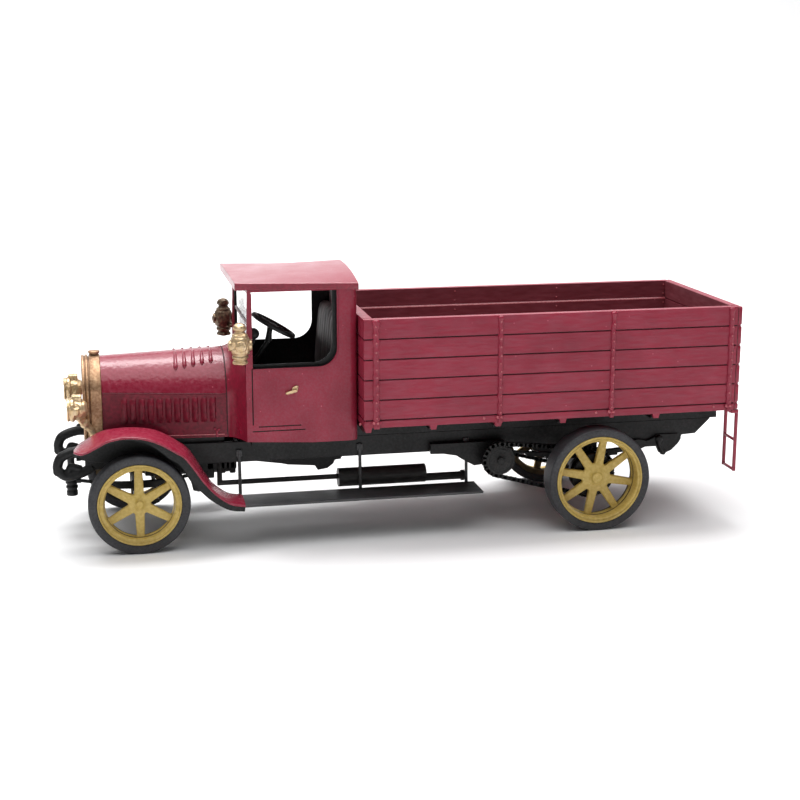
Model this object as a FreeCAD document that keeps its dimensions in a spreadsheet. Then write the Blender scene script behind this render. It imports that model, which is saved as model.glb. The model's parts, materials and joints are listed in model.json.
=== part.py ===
import FreeCAD, Part
import math
import os
import Sketcher

# A small hand-built model of a chain-driven lorry of about 1915, bonnet and open-sided cab in front,
# plank-sided load bed behind. Millimetres at the model's own size.
# +X forward, +Y to the vehicle's left, +Z up; z = 0 is the ground under the tyres.

VEC = FreeCAD.Vector
doc = FreeCAD.newDocument("chain_lorry")

SIZES = [
    # wheels and axles
    ("front_axle_x", 26.4, "front axle position along the vehicle"),
    ("wheelbase", 46.0, "distance between the axles"),
    ("front_spoke_count", 6, "number of spokes of a front wheel"),
    ("rear_spoke_count", 8, "number of spokes of a rear wheel"),
    ("front_tyre_radius", 4.92, "outside radius of a front tyre"),
    ("front_rim_radius", 4.05, "outside radius of a front rim"),
    ("front_tyre_width", 1.7, "front tyre width"),
    ("front_wheel_face_y", 8.37, "outer face of the front tyre"),
    ("front_rim_depth", 1.5, "front rim width across the vehicle"),
    ("front_felloe", 0.72, "radial depth of the front felloe"),
    ("front_hub_radius", 0.95, "front hub radius"),
    ("front_hub_in", 0.22, "front hub end, in from the tyre face"),
    ("front_stub_radius", 0.4, "front stub axle radius"),
    ("rear_tyre_radius", 5.3, "outside radius of a rear tyre"),
    ("rear_rim_radius", 4.51, "outside radius of a rear rim"),
    ("rear_tyre_width", 2.4, "rear tyre width"),
    ("rear_wheel_face_y", 10.35, "outer face of the rear tyre"),
    ("rear_rim_depth", 2.2, "rear rim width across the vehicle"),
    ("rear_felloe", 0.62, "radial depth of the rear felloe"),
    ("rear_hub_radius", 1.25, "rear hub radius"),
    ("rear_hub_in", 0.95, "rear hub end, in from the tyre face"),
    ("rear_stub_radius", 0.55, "rear stub axle radius"),
    ("hub_clearance", 0.05, "running clearance between a hub and its stub axle"),
    ("spoke_root", 1.0, "spoke width at the wheel's middle"),
    ("spoke_tip", 0.6, "spoke width at the rim"),
    ("spoke_depth", 0.55, "spoke thickness"),
    ("tyre_edge", 0.25, "bevel of the tyre's edges"),
    # chassis frame
    ("rail_outer_y", 4.5, "outer face of a frame rail"),
    ("rail_width", 0.6, "frame rail thickness"),
    ("rail_bottom_z", 7.7, "bottom of the frame rails"),
    ("rail_top_z", 9.8, "top of the frame rails"),
    ("rail_tail", 14.15, "length of the frame rails behind the rear axle"),
    ("iron_reach", 8.2, "front of the dumb irons before the front axle"),
    ("iron_root", 4.8, "where the dumb irons begin before the front axle"),
    ("apron_t", 0.25, "thickness of the aprons inside the fenders"),
    ("leaf_thickness", 0.22, "thickness of one spring leaf"),
    ("front_spring_half", 5.9, "half length of a front spring"),
    ("rear_spring_half", 8.2, "half length of a rear spring"),
    ("front_spring_sag", 0.6, "drop of the front springs at the axle"),
    ("rear_spring_sag", 0.6, "drop of the rear springs at the axle"),
    ("beam_half", 0.42, "half height of the front axle beam"),
    ("crankcase_length", 9.0, "length of the round part of the crankcase"),
    ("gearbox_length", 10.4, "length of the gearbox"),
    ("sprocket_y", 7.15, "outer face of the chains"),
    ("chain_width", 0.5, "chain width"),
    ("chain_half", 0.28, "half height of the chain"),
    ("chain_core", 0.16, "half height of the chain between its links"),
    ("chain_centres", 9.6, "cross shaft before the rear axle"),
    ("chain_run_count", 12, "number of links of a straight run of a chain"),
    ("chain_front_count", 6, "number of links round a front sprocket"),
    ("chain_rear_count", 10, "number of links round a rear sprocket"),
    ("front_sprocket_radius", 1.67, "pitch radius of the front sprocket"),
    ("rear_sprocket_radius", 2.5, "pitch radius of the rear sprocket"),
    ("jackshaft_z", 7.1, "cross shaft height"),
    ("jackshaft_radius", 0.35, "cross shaft radius"),
    # radiator, bonnet and lamps
    ("radiator_lead", 3.1, "rear face of the radiator shell before the front axle"),
    ("radiator_depth", 1.85, "depth of the radiator"),
    ("radiator_half", 3.85, "half width of the radiator"),
    ("radiator_shoulder_z", 15.4, "where the radiator's arch begins"),
    ("radiator_crown_z", 18.35, "top of the radiator"),
    ("radiator_ring", 0.7, "width of the radiator's front ring"),
    ("radiator_fin_count", 9, "number of fins on the radiator's core"),
    ("bonnet_length", 12.1, "length of the bonnet"),
    ("bonnet_foot_z", 10.4, "lower edge of the bonnet"),
    ("bonnet_front_half", 3.6, "half width of the bonnet in front"),
    ("bonnet_rear_half", 4.6, "half width of the bonnet at the rear"),
    ("bonnet_front_hinge_z", 15.2, "hinge height in front"),
    ("bonnet_rear_hinge_z", 14.8, "hinge height at the rear"),
    ("bonnet_front_crown_z", 18.2, "bonnet top in front"),
    ("bonnet_rear_crown_z", 18.65, "bonnet top at the rear"),
    ("side_louvre_count", 11, "number of louvres in each side of the bonnet"),
    ("top_louvre_count", 5, "number of louvres in each half of the bonnet's top"),
    ("louvre_pitch", 0.872, "distance between the louvres"),
    ("louvre_top_z", 14.35, "top of the side louvres"),
    ("louvre_height", 2.3, "height of the side louvres"),
    ("headlamp_lead", 5.65, "headlamp centre before the front axle"),
    ("headlamp_y", 4.95, "headlamp centre from the middle"),
    ("headlamp_z", 13.95, "headlamp centre height"),
    ("headlamp_radius", 1.18, "headlamp radius"),
    ("headlamp_length", 2.1, "headlamp length"),
    ("side_lamp_lead", 0.55, "side lamp centre before the cab's front"),
    ("side_lamp_y", 8.35, "side lamp centre from the middle"),
    ("side_lamp_z", 18.2, "bottom of the side lamp"),
    ("side_lamp_radius", 1.1, "side lamp radius at its widest"),
    # cab
    ("cowl_length", 1.65, "length of the cowl between bonnet and cab"),
    ("cab_length", 11.05, "length of the cab"),
    ("cab_corner", 0.8, "rounding of the cab's rear corners"),
    ("cab_half", 7.2, "half width of the cab"),
    ("cab_bottom_z", 10.05, "bottom of the cab sides"),
    ("cab_top_z", 25.35, "top of the cab walls"),
    ("cab_wall", 0.5, "cab wall thickness"),
    ("rear_panel", 2.07, "width of the side panel behind a window"),
    ("window_bottom_z", 17.65, "lower edge of the side windows"),
    ("window_corner", 1.9, "radius of the window's lower rear corner"),
    ("lintel", 0.35, "height of the cab wall over a window"),
    ("pillar", 0.62, "windscreen pillar width"),
    ("screen_bottom_z", 19.7, "lower edge of the windscreen"),
    ("screen_bar_z", 21.9, "middle bar of the windscreen"),
    ("cowl_side_z", 17.3, "where the cowl's arch begins at the cab"),
    ("cowl_crown_z", 19.6, "top of the cowl at the cab"),
    ("door_setback", 0.55, "front edge of the door behind the cab's front"),
    ("door_length", 5.2, "length of the door's lower line"),
    ("door_bottom_z", 11.35, "height of the door's lower line"),
    ("door_line_depth", 0.08, "depth of the door's engraved lines"),
    ("door_line_width", 0.12, "width of the door's engraved lines"),
    ("handle_z", 15.45, "height of the door handle"),
    ("rear_window_half", 4.5, "half width of the cab's rear window"),
    ("rear_window_bottom_z", 21.2, "lower edge of the rear window"),
    ("rear_window_top_z", 24.4, "upper edge of the rear window"),
    ("floor_thickness", 0.5, "cab floor thickness"),
    ("seat_top_z", 14.8, "seat cushion height"),
    ("seat_back_z", 21.0, "top of the seat's back"),
    ("seat_reach", 6.3, "front of the seat from the cab's rear"),
    ("steering_setback", 3.25, "steering wheel centre behind the cab's front"),
    ("steering_y", 3.4, "steering wheel centre from the middle"),
    ("steering_rise", 3.6, "steering wheel centre above the window's lower edge"),
    ("steering_radius", 2.2, "steering wheel radius"),
    ("steering_tilt", 30.0, "steering column angle from upright, in degrees"),
    ("roof_overhang", 0.93, "front edge of the roof before the cab"),
    ("roof_rear_overhang", 0.1, "rear corners of the roof behind the cab"),
    ("roof_half", 7.36, "half width of the roof"),
    ("roof_edge", 0.6, "roof thickness at its edge"),
    ("roof_crown", 0.85, "rise of the roof's middle"),
    ("roof_haunch", 2.2, "width of the rounder part of the roof at each side"),
    # fenders and running boards
    ("fender_inner_y", 5.7, "inner edge of the fenders"),
    ("fender_outer_y", 8.9, "outer edge of the fenders"),
    ("fender_thickness", 0.27, "fender thickness"),
    ("fender_arch_radius", 5.75, "radius of the fender's arch"),
    ("fender_foot_radius", 2.3, "radius of the fender's foot curve"),
    ("board_top_z", 4.4, "top of the running boards"),
    ("board_thickness", 0.22, "running board thickness"),
    ("board_inner_y", 4.8, "inner edge of the running boards"),
    ("board_outer_y", 8.7, "outer edge of the running boards"),
    ("board_setback", 10.2, "front end of the running boards behind the front axle"),
    ("board_rear_gap", 11.8, "rear end of the running boards before the rear axle"),
    ("lug_drop", 0.45, "how far the bed's lugs hang below its sides"),
    ("strut_width", 0.34, "width of a running board strut"),
    # exhaust
    ("muffler_lead", 1.5, "front end of the muffler before the cab's rear"),
    ("muffler_length", 9.1, "muffler length"),
    ("muffler_radius", 0.95, "muffler radius"),
    ("muffler_y", 3.5, "muffler centre from the middle"),
    ("muffler_z", 5.25, "muffler centre height"),
    ("pipe_radius", 0.27, "front exhaust pipe radius"),
    ("tailpipe_radius", 0.42, "tailpipe radius"),
    # load bed
    ("bed_gap", 0.1, "gap between the cab and the bed"),
    ("bed_tail", 14.87, "rear face of the tailboard behind the rear axle"),
    ("bed_half", 9.78, "half width of the bed"),
    ("bed_top_z", 22.6, "top of the sides"),
    ("floor_top_z", 12.56, "top of the load floor"),
    ("floor_bottom_z", 11.81, "bottom of the load floor"),
    ("board_t", 1.0, "thickness of the bed's sides"),
    ("tail_skin", 0.52, "outer layer of the tailboard"),
    ("groove", 0.12, "depth of the grooves between planks"),
    ("groove_half", 0.11, "half height of the grooves between planks"),
    ("stake_t", 0.3, "thickness of the stake irons"),
    ("stake_width", 0.62, "width of the stake irons"),
    ("bearer_width", 0.75, "width of a cross bearer"),
    ("bearer_bottom_z", 11.2, "bottom of the cross bearers"),
    # ladder
    ("ladder_rail", 0.35, "ladder rail thickness"),
    ("ladder_inner_y", 6.83, "inner side of the ladder"),
    ("ladder_outer_y", 9.68, "outer side of the ladder"),
    ("ladder_foot_z", 5.25, "lower end of the ladder"),
]

sheet = doc.addObject("Spreadsheet::Sheet", "Sizes")
NUMBERS = {}
for row, (alias, number, words) in enumerate(SIZES, start=1):
    sheet.set("A%d" % row, alias)
    sheet.set("B%d" % row, str(number))
    sheet.set("C%d" % row, words)
    sheet.setAlias("B%d" % row, alias)
    NUMBERS[alias] = float(number)
doc.recompute()


class Size:
    """A length that carries its number and the formula that gives it."""

    def __init__(self, number, text):
        self.n = number
        self.t = text

    @staticmethod
    def of(other):
        if isinstance(other, Size):
            return other
        return Size(float(other), "%.6g" % other if other >= 0 else "(%.6g)" % other)

    def __add__(self, other):
        other = Size.of(other)
        return Size(self.n + other.n, "(%s + %s)" % (self.t, other.t))

    __radd__ = __add__

    def __sub__(self, other):
        other = Size.of(other)
        return Size(self.n - other.n, "(%s - %s)" % (self.t, other.t))

    def __rsub__(self, other):
        return Size.of(other) - self

    def __mul__(self, other):
        other = Size.of(other)
        return Size(self.n * other.n, "(%s * %s)" % (self.t, other.t))

    __rmul__ = __mul__

    def __truediv__(self, other):
        other = Size.of(other)
        return Size(self.n / other.n, "(%s / %s)" % (self.t, other.t))

    def __neg__(self):
        return Size(-self.n, "(0 - %s)" % self.t)


def S(alias):
    return Size(NUMBERS[alias], "Sizes." + alias)


DERIVED = []


def derived(alias, value):
    """A size worked out from the others, kept in the sheet beside them."""
    DERIVED.append(alias)
    row = len(SIZES) + len(DERIVED)
    sheet.set("A%d" % row, alias)
    sheet.set("B%d" % row, "=" + value.t.replace("Sizes.", ""))
    sheet.setAlias("B%d" % row, alias)
    doc.recompute()
    return Size(value.n, "Sizes." + alias)


def root(value):
    return Size(math.sqrt(value.n), "sqrt(%s)" % value.t)


def bind(obj, prop, value):
    value = Size.of(value)
    obj.setExpression(prop, value.t)


def place(obj, x, y, z, rotation=None):
    x, y, z = Size.of(x), Size.of(y), Size.of(z)
    obj.Placement = FreeCAD.Placement(VEC(x.n, y.n, z.n), rotation or FreeCAD.Rotation())
    bind(obj, "Placement.Base.x", x)
    bind(obj, "Placement.Base.y", y)
    bind(obj, "Placement.Base.z", z)


ALONG = {
    "X": FreeCAD.Rotation(VEC(0, 1, 0), 90),
    "Y": FreeCAD.Rotation(VEC(1, 0, 0), -90),
    "Z": FreeCAD.Rotation(),
}
COUNT = [0]


def fresh(kind):
    COUNT[0] += 1
    return "%s_%03d" % (kind, COUNT[0])


def box(x0, x1, y0, y1, z0, z1):
    obj = doc.addObject("Part::Box", fresh("box"))
    bind(obj, "Length", Size.of(x1) - x0)
    bind(obj, "Width", Size.of(y1) - y0)
    bind(obj, "Height", Size.of(z1) - z0)
    place(obj, x0, y0, z0)
    return obj


def rod(radius, length, x, y, z, along):
    obj = doc.addObject("Part::Cylinder", fresh("rod"))
    bind(obj, "Radius", radius)
    bind(obj, "Height", length)
    place(obj, x, y, z, ALONG[along])
    return obj


def wire(radius, length, x, y, z, along, flats=8):
    """A thin bar with eight flats, or as many as asked."""
    obj = doc.addObject("Part::Prism", fresh("wire"))
    obj.Polygon = flats
    bind(obj, "Circumradius", radius)
    bind(obj, "Height", length)
    place(obj, x, y, z, ALONG[along])
    return obj


def cone(radius1, radius2, length, x, y, z, along):
    obj = doc.addObject("Part::Cone", fresh("cone"))
    bind(obj, "Radius1", radius1)
    bind(obj, "Radius2", radius2)
    bind(obj, "Height", length)
    place(obj, x, y, z, ALONG[along])
    return obj


PLANES = {
    "side": FreeCAD.Rotation(VEC(1, 0, 0), 90),
    "front": FreeCAD.Rotation(VEC(1, 1, 1), 120),
    "plan": FreeCAD.Rotation(),
}


def outline(plane, offset, corners):
    """A closed sketch. A corner is (a, b), or (a, b, radius, turn) where an arc leaves it:
    turn is 1 when the arc bends to the left on its way to the next corner and -1 when to the right."""
    sketch = doc.addObject("Sketcher::SketchObject", fresh("outline"))
    offset = Size.of(offset)
    if plane == "side":
        place(sketch, 0, offset, 0, PLANES[plane])
    elif plane == "front":
        place(sketch, offset, 0, 0, PLANES[plane])
    else:
        place(sketch, 0, 0, offset, PLANES[plane])
    spots = [(Size.of(c[0]), Size.of(c[1])) for c in corners]
    count = len(corners)
    ends = []
    for i, corner in enumerate(corners):
        a = VEC(spots[i][0].n, spots[i][1].n, 0)
        b = VEC(spots[(i + 1) % count][0].n, spots[(i + 1) % count][1].n, 0)
        if len(corner) == 2:
            edge = sketch.addGeometry(Part.LineSegment(a, b))
            ends.append((edge, 1, 2))
            continue
        radius, turn = Size.of(corner[2]), corner[3]
        chord = b - a
        rise = math.sqrt(max(radius.n ** 2 - (chord.Length / 2) ** 2, 0.0))
        left = VEC(-chord.y, chord.x, 0).normalize()
        centre = (a + b) * 0.5 + left * rise * turn
        angle_a = math.atan2(a.y - centre.y, a.x - centre.x)
        angle_b = math.atan2(b.y - centre.y, b.x - centre.x)
        circle = Part.Circle(centre, VEC(0, 0, 1), radius.n)
        if turn > 0:
            edge = sketch.addGeometry(Part.ArcOfCircle(circle, angle_a, angle_b))
            ends.append((edge, 1, 2))
        else:
            edge = sketch.addGeometry(Part.ArcOfCircle(circle, angle_b, angle_a))
            ends.append((edge, 2, 1))
        rule = sketch.addConstraint(Sketcher.Constraint("Radius", edge, radius.n))
        sketch.setExpression("Constraints[%d]" % rule, radius.t)
    for i in range(count):
        here, after = ends[i], ends[(i + 1) % count]
        sketch.addConstraint(Sketcher.Constraint("Coincident", here[0], here[2], after[0], after[1]))
    for i in range(count):
        edge, first, last = ends[i]
        for kind, spot in (("DistanceX", spots[i][0]), ("DistanceY", spots[i][1])):
            rule = sketch.addConstraint(Sketcher.Constraint(kind, -1, 1, edge, first, spot.n))
            sketch.setExpression("Constraints[%d]" % rule, spot.t)
    return sketch


def slab(plane, offset, thickness, corners):
    """An outline given thickness: side goes from y = offset towards -Y, front towards +X, plan up."""
    obj = doc.addObject("Part::Extrusion", fresh("slab"))
    obj.Base = outline(plane, offset, corners)
    obj.DirMode = "Normal"
    obj.Solid = True
    obj.LengthFwd = Size.of(thickness).n
    bind(obj, "LengthFwd", thickness)
    return obj


def loft(first, second):
    obj = doc.addObject("Part::Loft", fresh("loft"))
    obj.Sections = [first, second]
    obj.Solid = True
    obj.Ruled = True
    return obj


def turned(corners, x, y, z, axis):
    """A profile of (radius, height) corners turned about an axis through (x, y, z)."""
    obj = doc.addObject("Part::Revolution", fresh("turned"))
    sketch = outline("plan", 0, corners)
    obj.Source = sketch
    obj.Axis = VEC(0, 1, 0)
    obj.Base = VEC(0, 0, 0)
    obj.Angle = 360.0
    obj.Solid = True
    rotation = {"Y": FreeCAD.Rotation(), "Z": FreeCAD.Rotation(VEC(1, 0, 0), 90),
                "X": FreeCAD.Rotation(VEC(0, 0, 1), -90)}[axis]
    place(obj, x, y, z, rotation)
    return obj


def fuse(*shapes):
    obj = doc.addObject("Part::MultiFuse", fresh("fuse"))
    obj.Shapes = list(shapes)
    obj.Refine = True
    return obj


def cut(base, *tools):
    for tool in tools:
        obj = doc.addObject("Part::Cut", fresh("cut"))
        obj.Base = base
        obj.Tool = tool
        obj.Refine = True
        base = obj
    return base


def common(*shapes):
    obj = doc.addObject("Part::MultiCommon", fresh("common"))
    obj.Shapes = list(shapes)
    return obj


NODES = []


def node(name, obj):
    obj.Label = name
    NODES.append((name, obj))
    return obj


def pair(stem, left):
    """Name a left-hand piece and add its mirror image on the right."""
    node(stem + "_left", left)
    right = doc.addObject("Part::Mirroring", fresh("mirror"))
    right.Source = left
    right.Base = VEC(0, 0, 0)
    right.Normal = VEC(0, 1, 0)
    node(stem + "_right", right)


def arch_radius(half, rise):
    return (half * half + rise * rise) / (2 * rise)


def arch(half, foot, shoulder, crown):
    """Corners of an upright section with straight sides and a round top."""
    return [(-half, foot), (half, foot), (half, shoulder, arch_radius(half, crown - shoulder), 1),
            (-half, shoulder)]


FX = S("front_axle_x")
RX = FX - S("wheelbase")
QX = FX + S("radiator_lead")
BX = QX - S("bonnet_length")
CF = BX - S("cowl_length")
CR = CF - S("cab_length")
EX = CR - S("bed_gap")
ER = RX - S("bed_tail")
FZ = S("front_tyre_radius")
RZ = S("rear_tyre_radius")


# wheels: tyre, then spoked rim with hub and cap, bored for the stub axle
def tyre(radius, rim, width, face, x, z):
    edge = S("tyre_edge")
    corners = [(rim - 0.3, face - width), (radius, face - width), (radius, face - edge), (radius - edge, face),
               (rim - 0.3, face)]
    return cut(turned(corners, x, 0, z, "Y"), wire(rim, width + 1, x, face - width - 0.5, z, "Y", 40))


def wheel(prefix, spokes, x, z):
    rim = S(prefix + "_rim_radius")
    face = S(prefix + "_wheel_face_y")
    depth = S(prefix + "_rim_depth")
    inner = rim - S(prefix + "_felloe")
    hub = S(prefix + "_hub_radius")
    end = face - S(prefix + "_hub_in")
    stub = S(prefix + "_stub_radius") + S("hub_clearance")
    inside = face - S(prefix + "_tyre_width")
    ring = cut(wire(rim, depth, x, face - depth, z, "Y", 40), wire(inner, depth, x, face - depth, z, "Y", 40))
    bars = []
    spoke_face = end - S("spoke_depth") * 0.7
    tip = inner + 0.12
    for i in range(spokes // 2):
        turn = math.pi * 2 * i / spokes + (math.pi / 2 if prefix == "front" else math.pi / 16)
        c, s = math.cos(turn), math.sin(turn)
        corners = []
        for along, across, width in ((-1, -1, "spoke_tip"), (0, -1, "spoke_root"), (1, -1, "spoke_tip"),
                                     (1, 1, "spoke_tip"), (0, 1, "spoke_root"), (-1, 1, "spoke_tip")):
            half = S(width) / 2
            corners.append((x + tip * (along * c) - half * (across * s),
                            z + tip * (along * s) + half * (across * c)))
        bars.append(slab("side", spoke_face, S("spoke_depth"), corners))
    barrel = wire(hub, spoke_face + 0.1 - inside, x, inside, z, "Y", 16)
    cap = wire(hub * 0.45, end - inside, x, inside, z, "Y", 12)
    bore = rod(stub, end - 0.3 - inside, x, inside, z, "Y")
    return cut(fuse(ring, barrel, cap, *bars), bore)


for prefix, x, z in (("front", FX, FZ), ("rear", RX, RZ)):
    spokes = int(NUMBERS[prefix + "_spoke_count"])
    pair(prefix + "_tyre", tyre(S(prefix + "_tyre_radius"), S(prefix + "_rim_radius"),
                                S(prefix + "_tyre_width"), S(prefix + "_wheel_face_y"), x, z))
    pair(prefix + "_rim", wheel(prefix, spokes, x, z))

# frame rails with looped dumb irons in front and a tapered tail
RO = S("rail_outer_y")
RI = S("rail_outer_y") - S("rail_width")
RB = S("rail_bottom_z")
RT = S("rail_top_z")
IX = FX + S("iron_root")
IF = FX + S("iron_reach")
TX = RX - S("rail_tail")
rail = slab("side", RO, S("rail_width"), [
    (TX, RT), (TX, RT - 0.12), (TX + 1.6, RB + 0.45), (TX + 2.9, RB + 0.38), (TX + 5.4, RB), (IX, RB),
    (IX + 0.4, RB - 0.35), (IF - 2.2, RB - 0.75), (IF - 1.3, RB - 1.03), (IF - 0.6, RB - 0.6), (IF, RB + 0.15),
    (IF - 0.15, RB + 0.85), (IF - 0.5, RB + 1.62), (IF - 1.55, RB + 2.12), (IF - 2.5, RB + 2.35),
    (IX + 0.3, RB + 2.25), (IX, RT)])
eye = slab("side", RO, S("rail_width"), [
    (IF - 2.72, RB + 0.7), (IF - 2.35, RB + 1.08), (IF - 1.5, RB + 1.12), (IF - 0.98, RB + 0.8),
    (IF - 1.2, RB + 0.35), (IF - 1.9, RB + 0.1), (IF - 2.5, RB + 0.15)])
hanger_x = RX - S("rear_spring_half")
hanger = slab("side", RO, S("rail_width"), [
    (hanger_x - 2.85, RB + 0.5), (hanger_x - 2.75, RB), (hanger_x - 2.6, RB - 0.4), (hanger_x - 0.9, RB - 1.62),
    (hanger_x - 0.3, RB - 1.05), (hanger_x - 0.05, RB + 0.2), (hanger_x - 0.05, RB + 0.5)])
pair("frame_rail", fuse(cut(rail, eye), hanger))
front_member = box(IX - 1.8, IX + 0.15, -RI, RI, RT - 0.8, RT)
node("front_cross_member", front_member)
node("rear_cross_member", box(TX + 3.0, TX + 3.8, -RI, RI, RT - 1.5, RT - 0.1))

# engine and gearbox between the rails
BZ = S("bonnet_foot_z")
node("crankcase", fuse(box(BX + 0.3, IX - 2.6, -RI, RI, RT - 1.6, BZ),
                       wire(2.0, S("crankcase_length"), BX - 0.9, 0, RT - 2.2, "X", 16)))
GF = BX - 1.2
GR = GF - S("gearbox_length")
node("gearbox", fuse(slab("side", 2.5, 5.0, [
    (GR - 0.4, RT), (GR - 0.4, RB), (GR - 0.1, RB - 0.8), (GR + 0.5, RB - 0.85), (GR + 0.7, RB - 1.25),
    (GR + 1.3, RB - 1.7), (GR + 2.3, RB - 1.85), (GR + 2.6, RB - 1.35), (GR + 5.4, RB - 1.1),
    (GR + 6.0, RB - 0.95), (GR + 8.6, RB - 0.55), (GF, RB - 0.55), (GF, RT)]),
    box(GF - 5.4, GF - 4.0, -RI, RI, RB + 0.2, RT - 0.4)))

# springs: stacks of curved leaves, hung under the rails
def spring(x, half, seat, sag, front_top):
    leaf = S("leaf_thickness")
    bend = arch_radius(half, sag)
    leaves = []
    hang = seat + 4 * leaf + sag
    for i, share in enumerate((1.0, 0.74, 0.48)):
        reach = half * share
        rise = bend - root(bend * bend - reach * reach)
        low = seat + leaf * (3 - i) + rise
        leaves.append(slab("side", RO, S("rail_width"), [
            (x - reach, low, bend, 1), (x + reach, low), (x + reach, low + leaf, bend, -1),
            (x - reach, low + leaf)]))
    block = S("leaf_thickness") * 4
    clamp = box(x - 0.55, x + 0.55, RI, RO, seat, seat + block + 0.2)
    front_eye = box(x + half - 0.45, x + half, RI, RO, hang - leaf - 0.15, front_top or hang)
    rear_eye = box(x - half, x - half + 0.55, RI, RO, hang - leaf, RB)
    return fuse(clamp, front_eye, rear_eye, *leaves)


pair("front_spring", spring(FX, S("front_spring_half"), FZ + S("beam_half"), S("front_spring_sag"), None))
pair("rear_spring", spring(RX, S("rear_spring_half"), RZ + 0.6, S("rear_spring_sag"), RB))


# axles with stub ends for the wheels
def axle(prefix, x, z, beam):
    inside = S(prefix + "_wheel_face_y") - S(prefix + "_tyre_width") - 0.15
    stub = S(prefix + "_stub_radius")
    reach = S(prefix + "_wheel_face_y") - S(prefix + "_hub_in") - 0.4
    return inside, [rod(stub, reach * 2, x, -reach, z, "Y")]


BH = S("beam_half")
inside, parts = axle("front", FX, FZ, BH)
beam = slab("front", FX - BH, BH * 2, [
    (-inside, FZ - BH), (-RO, FZ - BH), (0.8 - RI, FZ - BH * 1.7), (RI - 0.8, FZ - BH * 1.7), (RO, FZ - BH),
    (inside, FZ - BH), (inside, FZ + BH), (RI - 0.3, FZ + BH), (RI - 1.0, FZ + BH * 0.3),
    (1.0 - RI, FZ + BH * 0.3), (0.3 - RI, FZ + BH), (-inside, FZ + BH)])
knuckles = []
for pin_y in (inside - 0.5, 0.5 - inside):
    knuckles.append(wire(0.42, BH * 4, FX, pin_y, FZ - BH * 2, "Z"))
    knuckles.append(box(FX - 2.0, FX, pin_y - 0.15, pin_y + 0.15, FZ - BH, FZ - BH * 0.3))
tie_rod = wire(0.2, inside * 2 - 0.8, FX - 1.8, 0.4 - inside, FZ - BH * 0.65, "Y")
node("front_axle", fuse(beam, tie_rod, *(knuckles + parts)))
inside, parts = axle("rear", RX, RZ, 0.6)
disc = S("rear_sprocket_radius") - S("chain_half") - 0.02
CY = S("sprocket_y")
CW = S("chain_width")
node("rear_axle", fuse(box(RX - 0.6, RX + 0.6, -inside, inside, RZ - 0.6, RZ + 0.6),
                       wire(disc, CW, RX, CY - CW, RZ, "Y", 30), wire(disc, CW, RX, -CY, RZ, "Y", 30), *parts))

# cross shaft with its two sprocket discs and bearing blocks
JX = RX + S("chain_centres")
JZ = S("jackshaft_z")
JR = S("jackshaft_radius")
disc = S("front_sprocket_radius") - S("chain_half") - 0.02
bearing = [
    (JX - 0.9, RT - 1.1), (JX - 0.9, RB - 1.1), (JX + 0.6, RB - 1.35), (JX + 2.3, RB - 1.5), (JX + 3.6, RB - 0.75),
    (JX + 4.2, RB - 0.35), (JX + 5.5, RB - 0.1), (JX + 6.9, RB - 0.05), (JX + 6.9, RT - 1.1)]
node("cross_shaft", fuse(wire(JR, CY * 2, JX, -CY, JZ, "Y"),
                         slab("side", RO + 0.85, 0.5, bearing), slab("side", -RO - 0.35, 0.5, bearing),
                         wire(disc, CW, JX, CY - CW, JZ, "Y", 24), wire(disc, CW, JX, -CY, JZ, "Y", 24),
                         wire(disc * 0.3, 0.3, JX, CY, JZ, "Y", 12),
                         wire(disc * 0.3, 0.3, JX, -CY - 0.3, JZ, "Y", 12),
                         box(JX - 0.8, JX + 0.8, RI, RO, JZ - 0.6, RB),
                         box(JX - 0.8, JX + 0.8, -RO, -RI, JZ - 0.6, RB)))


# drive chains: closed loops of links round both sprockets
SPAN_X = derived("chain_span_x", JX - RX)
SPAN_Z = derived("chain_span_z", JZ - RZ)
SPAN = derived("chain_span", root(SPAN_X * SPAN_X + SPAN_Z * SPAN_Z))
UX = derived("chain_dir_x", SPAN_X / SPAN)
UZ = derived("chain_dir_z", SPAN_Z / SPAN)


def loop(r_front, r_rear):
    far, ux, uz = SPAN, UX, UZ
    lean = (r_rear - r_front) / far
    rest = root(1 - lean * lean)
    top = (ux * lean - uz * rest, uz * lean + ux * rest)
    low = (ux * lean + uz * rest, uz * lean - ux * rest)
    return [(JX + r_front * low[0], JZ + r_front * low[1], r_front, 1),
            (JX + r_front * ux, JZ + r_front * uz, r_front, 1),
            (JX + r_front * top[0], JZ + r_front * top[1]),
            (RX + r_rear * top[0], RZ + r_rear * top[1], r_rear, 1),
            (RX - r_rear * ux, RZ - r_rear * uz, r_rear, 1),
            (RX + r_rear * low[0], RZ + r_rear * low[1])]


CH = S("chain_half")
FR = S("front_sprocket_radius")
RR = S("rear_sprocket_radius")
CC = S("chain_core")
LEAN = derived("chain_lean", (RR - FR) / SPAN)
REST = derived("chain_rest", root(1 - LEAN * LEAN))
RUN = derived("chain_run", SPAN * REST)
TOP = (derived("chain_top_x", UX * LEAN - UZ * REST), derived("chain_top_z", UZ * LEAN + UX * REST))
LOW = (derived("chain_low_x", UX * LEAN + UZ * REST), derived("chain_low_z", UZ * LEAN - UX * REST))


def link(x, z, out, length):
    """One link: its middle, its direction away from the loop and its length."""
    a, h = length * 0.4, CH
    ox, oz = out
    return slab("side", CY, CW, [
        (x - a * oz, z + a * ox), (x + a * oz, z - a * ox),
        (x + a * oz + h * ox, z - a * ox + h * oz), (x - a * oz + h * ox, z + a * ox + h * oz)])


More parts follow.
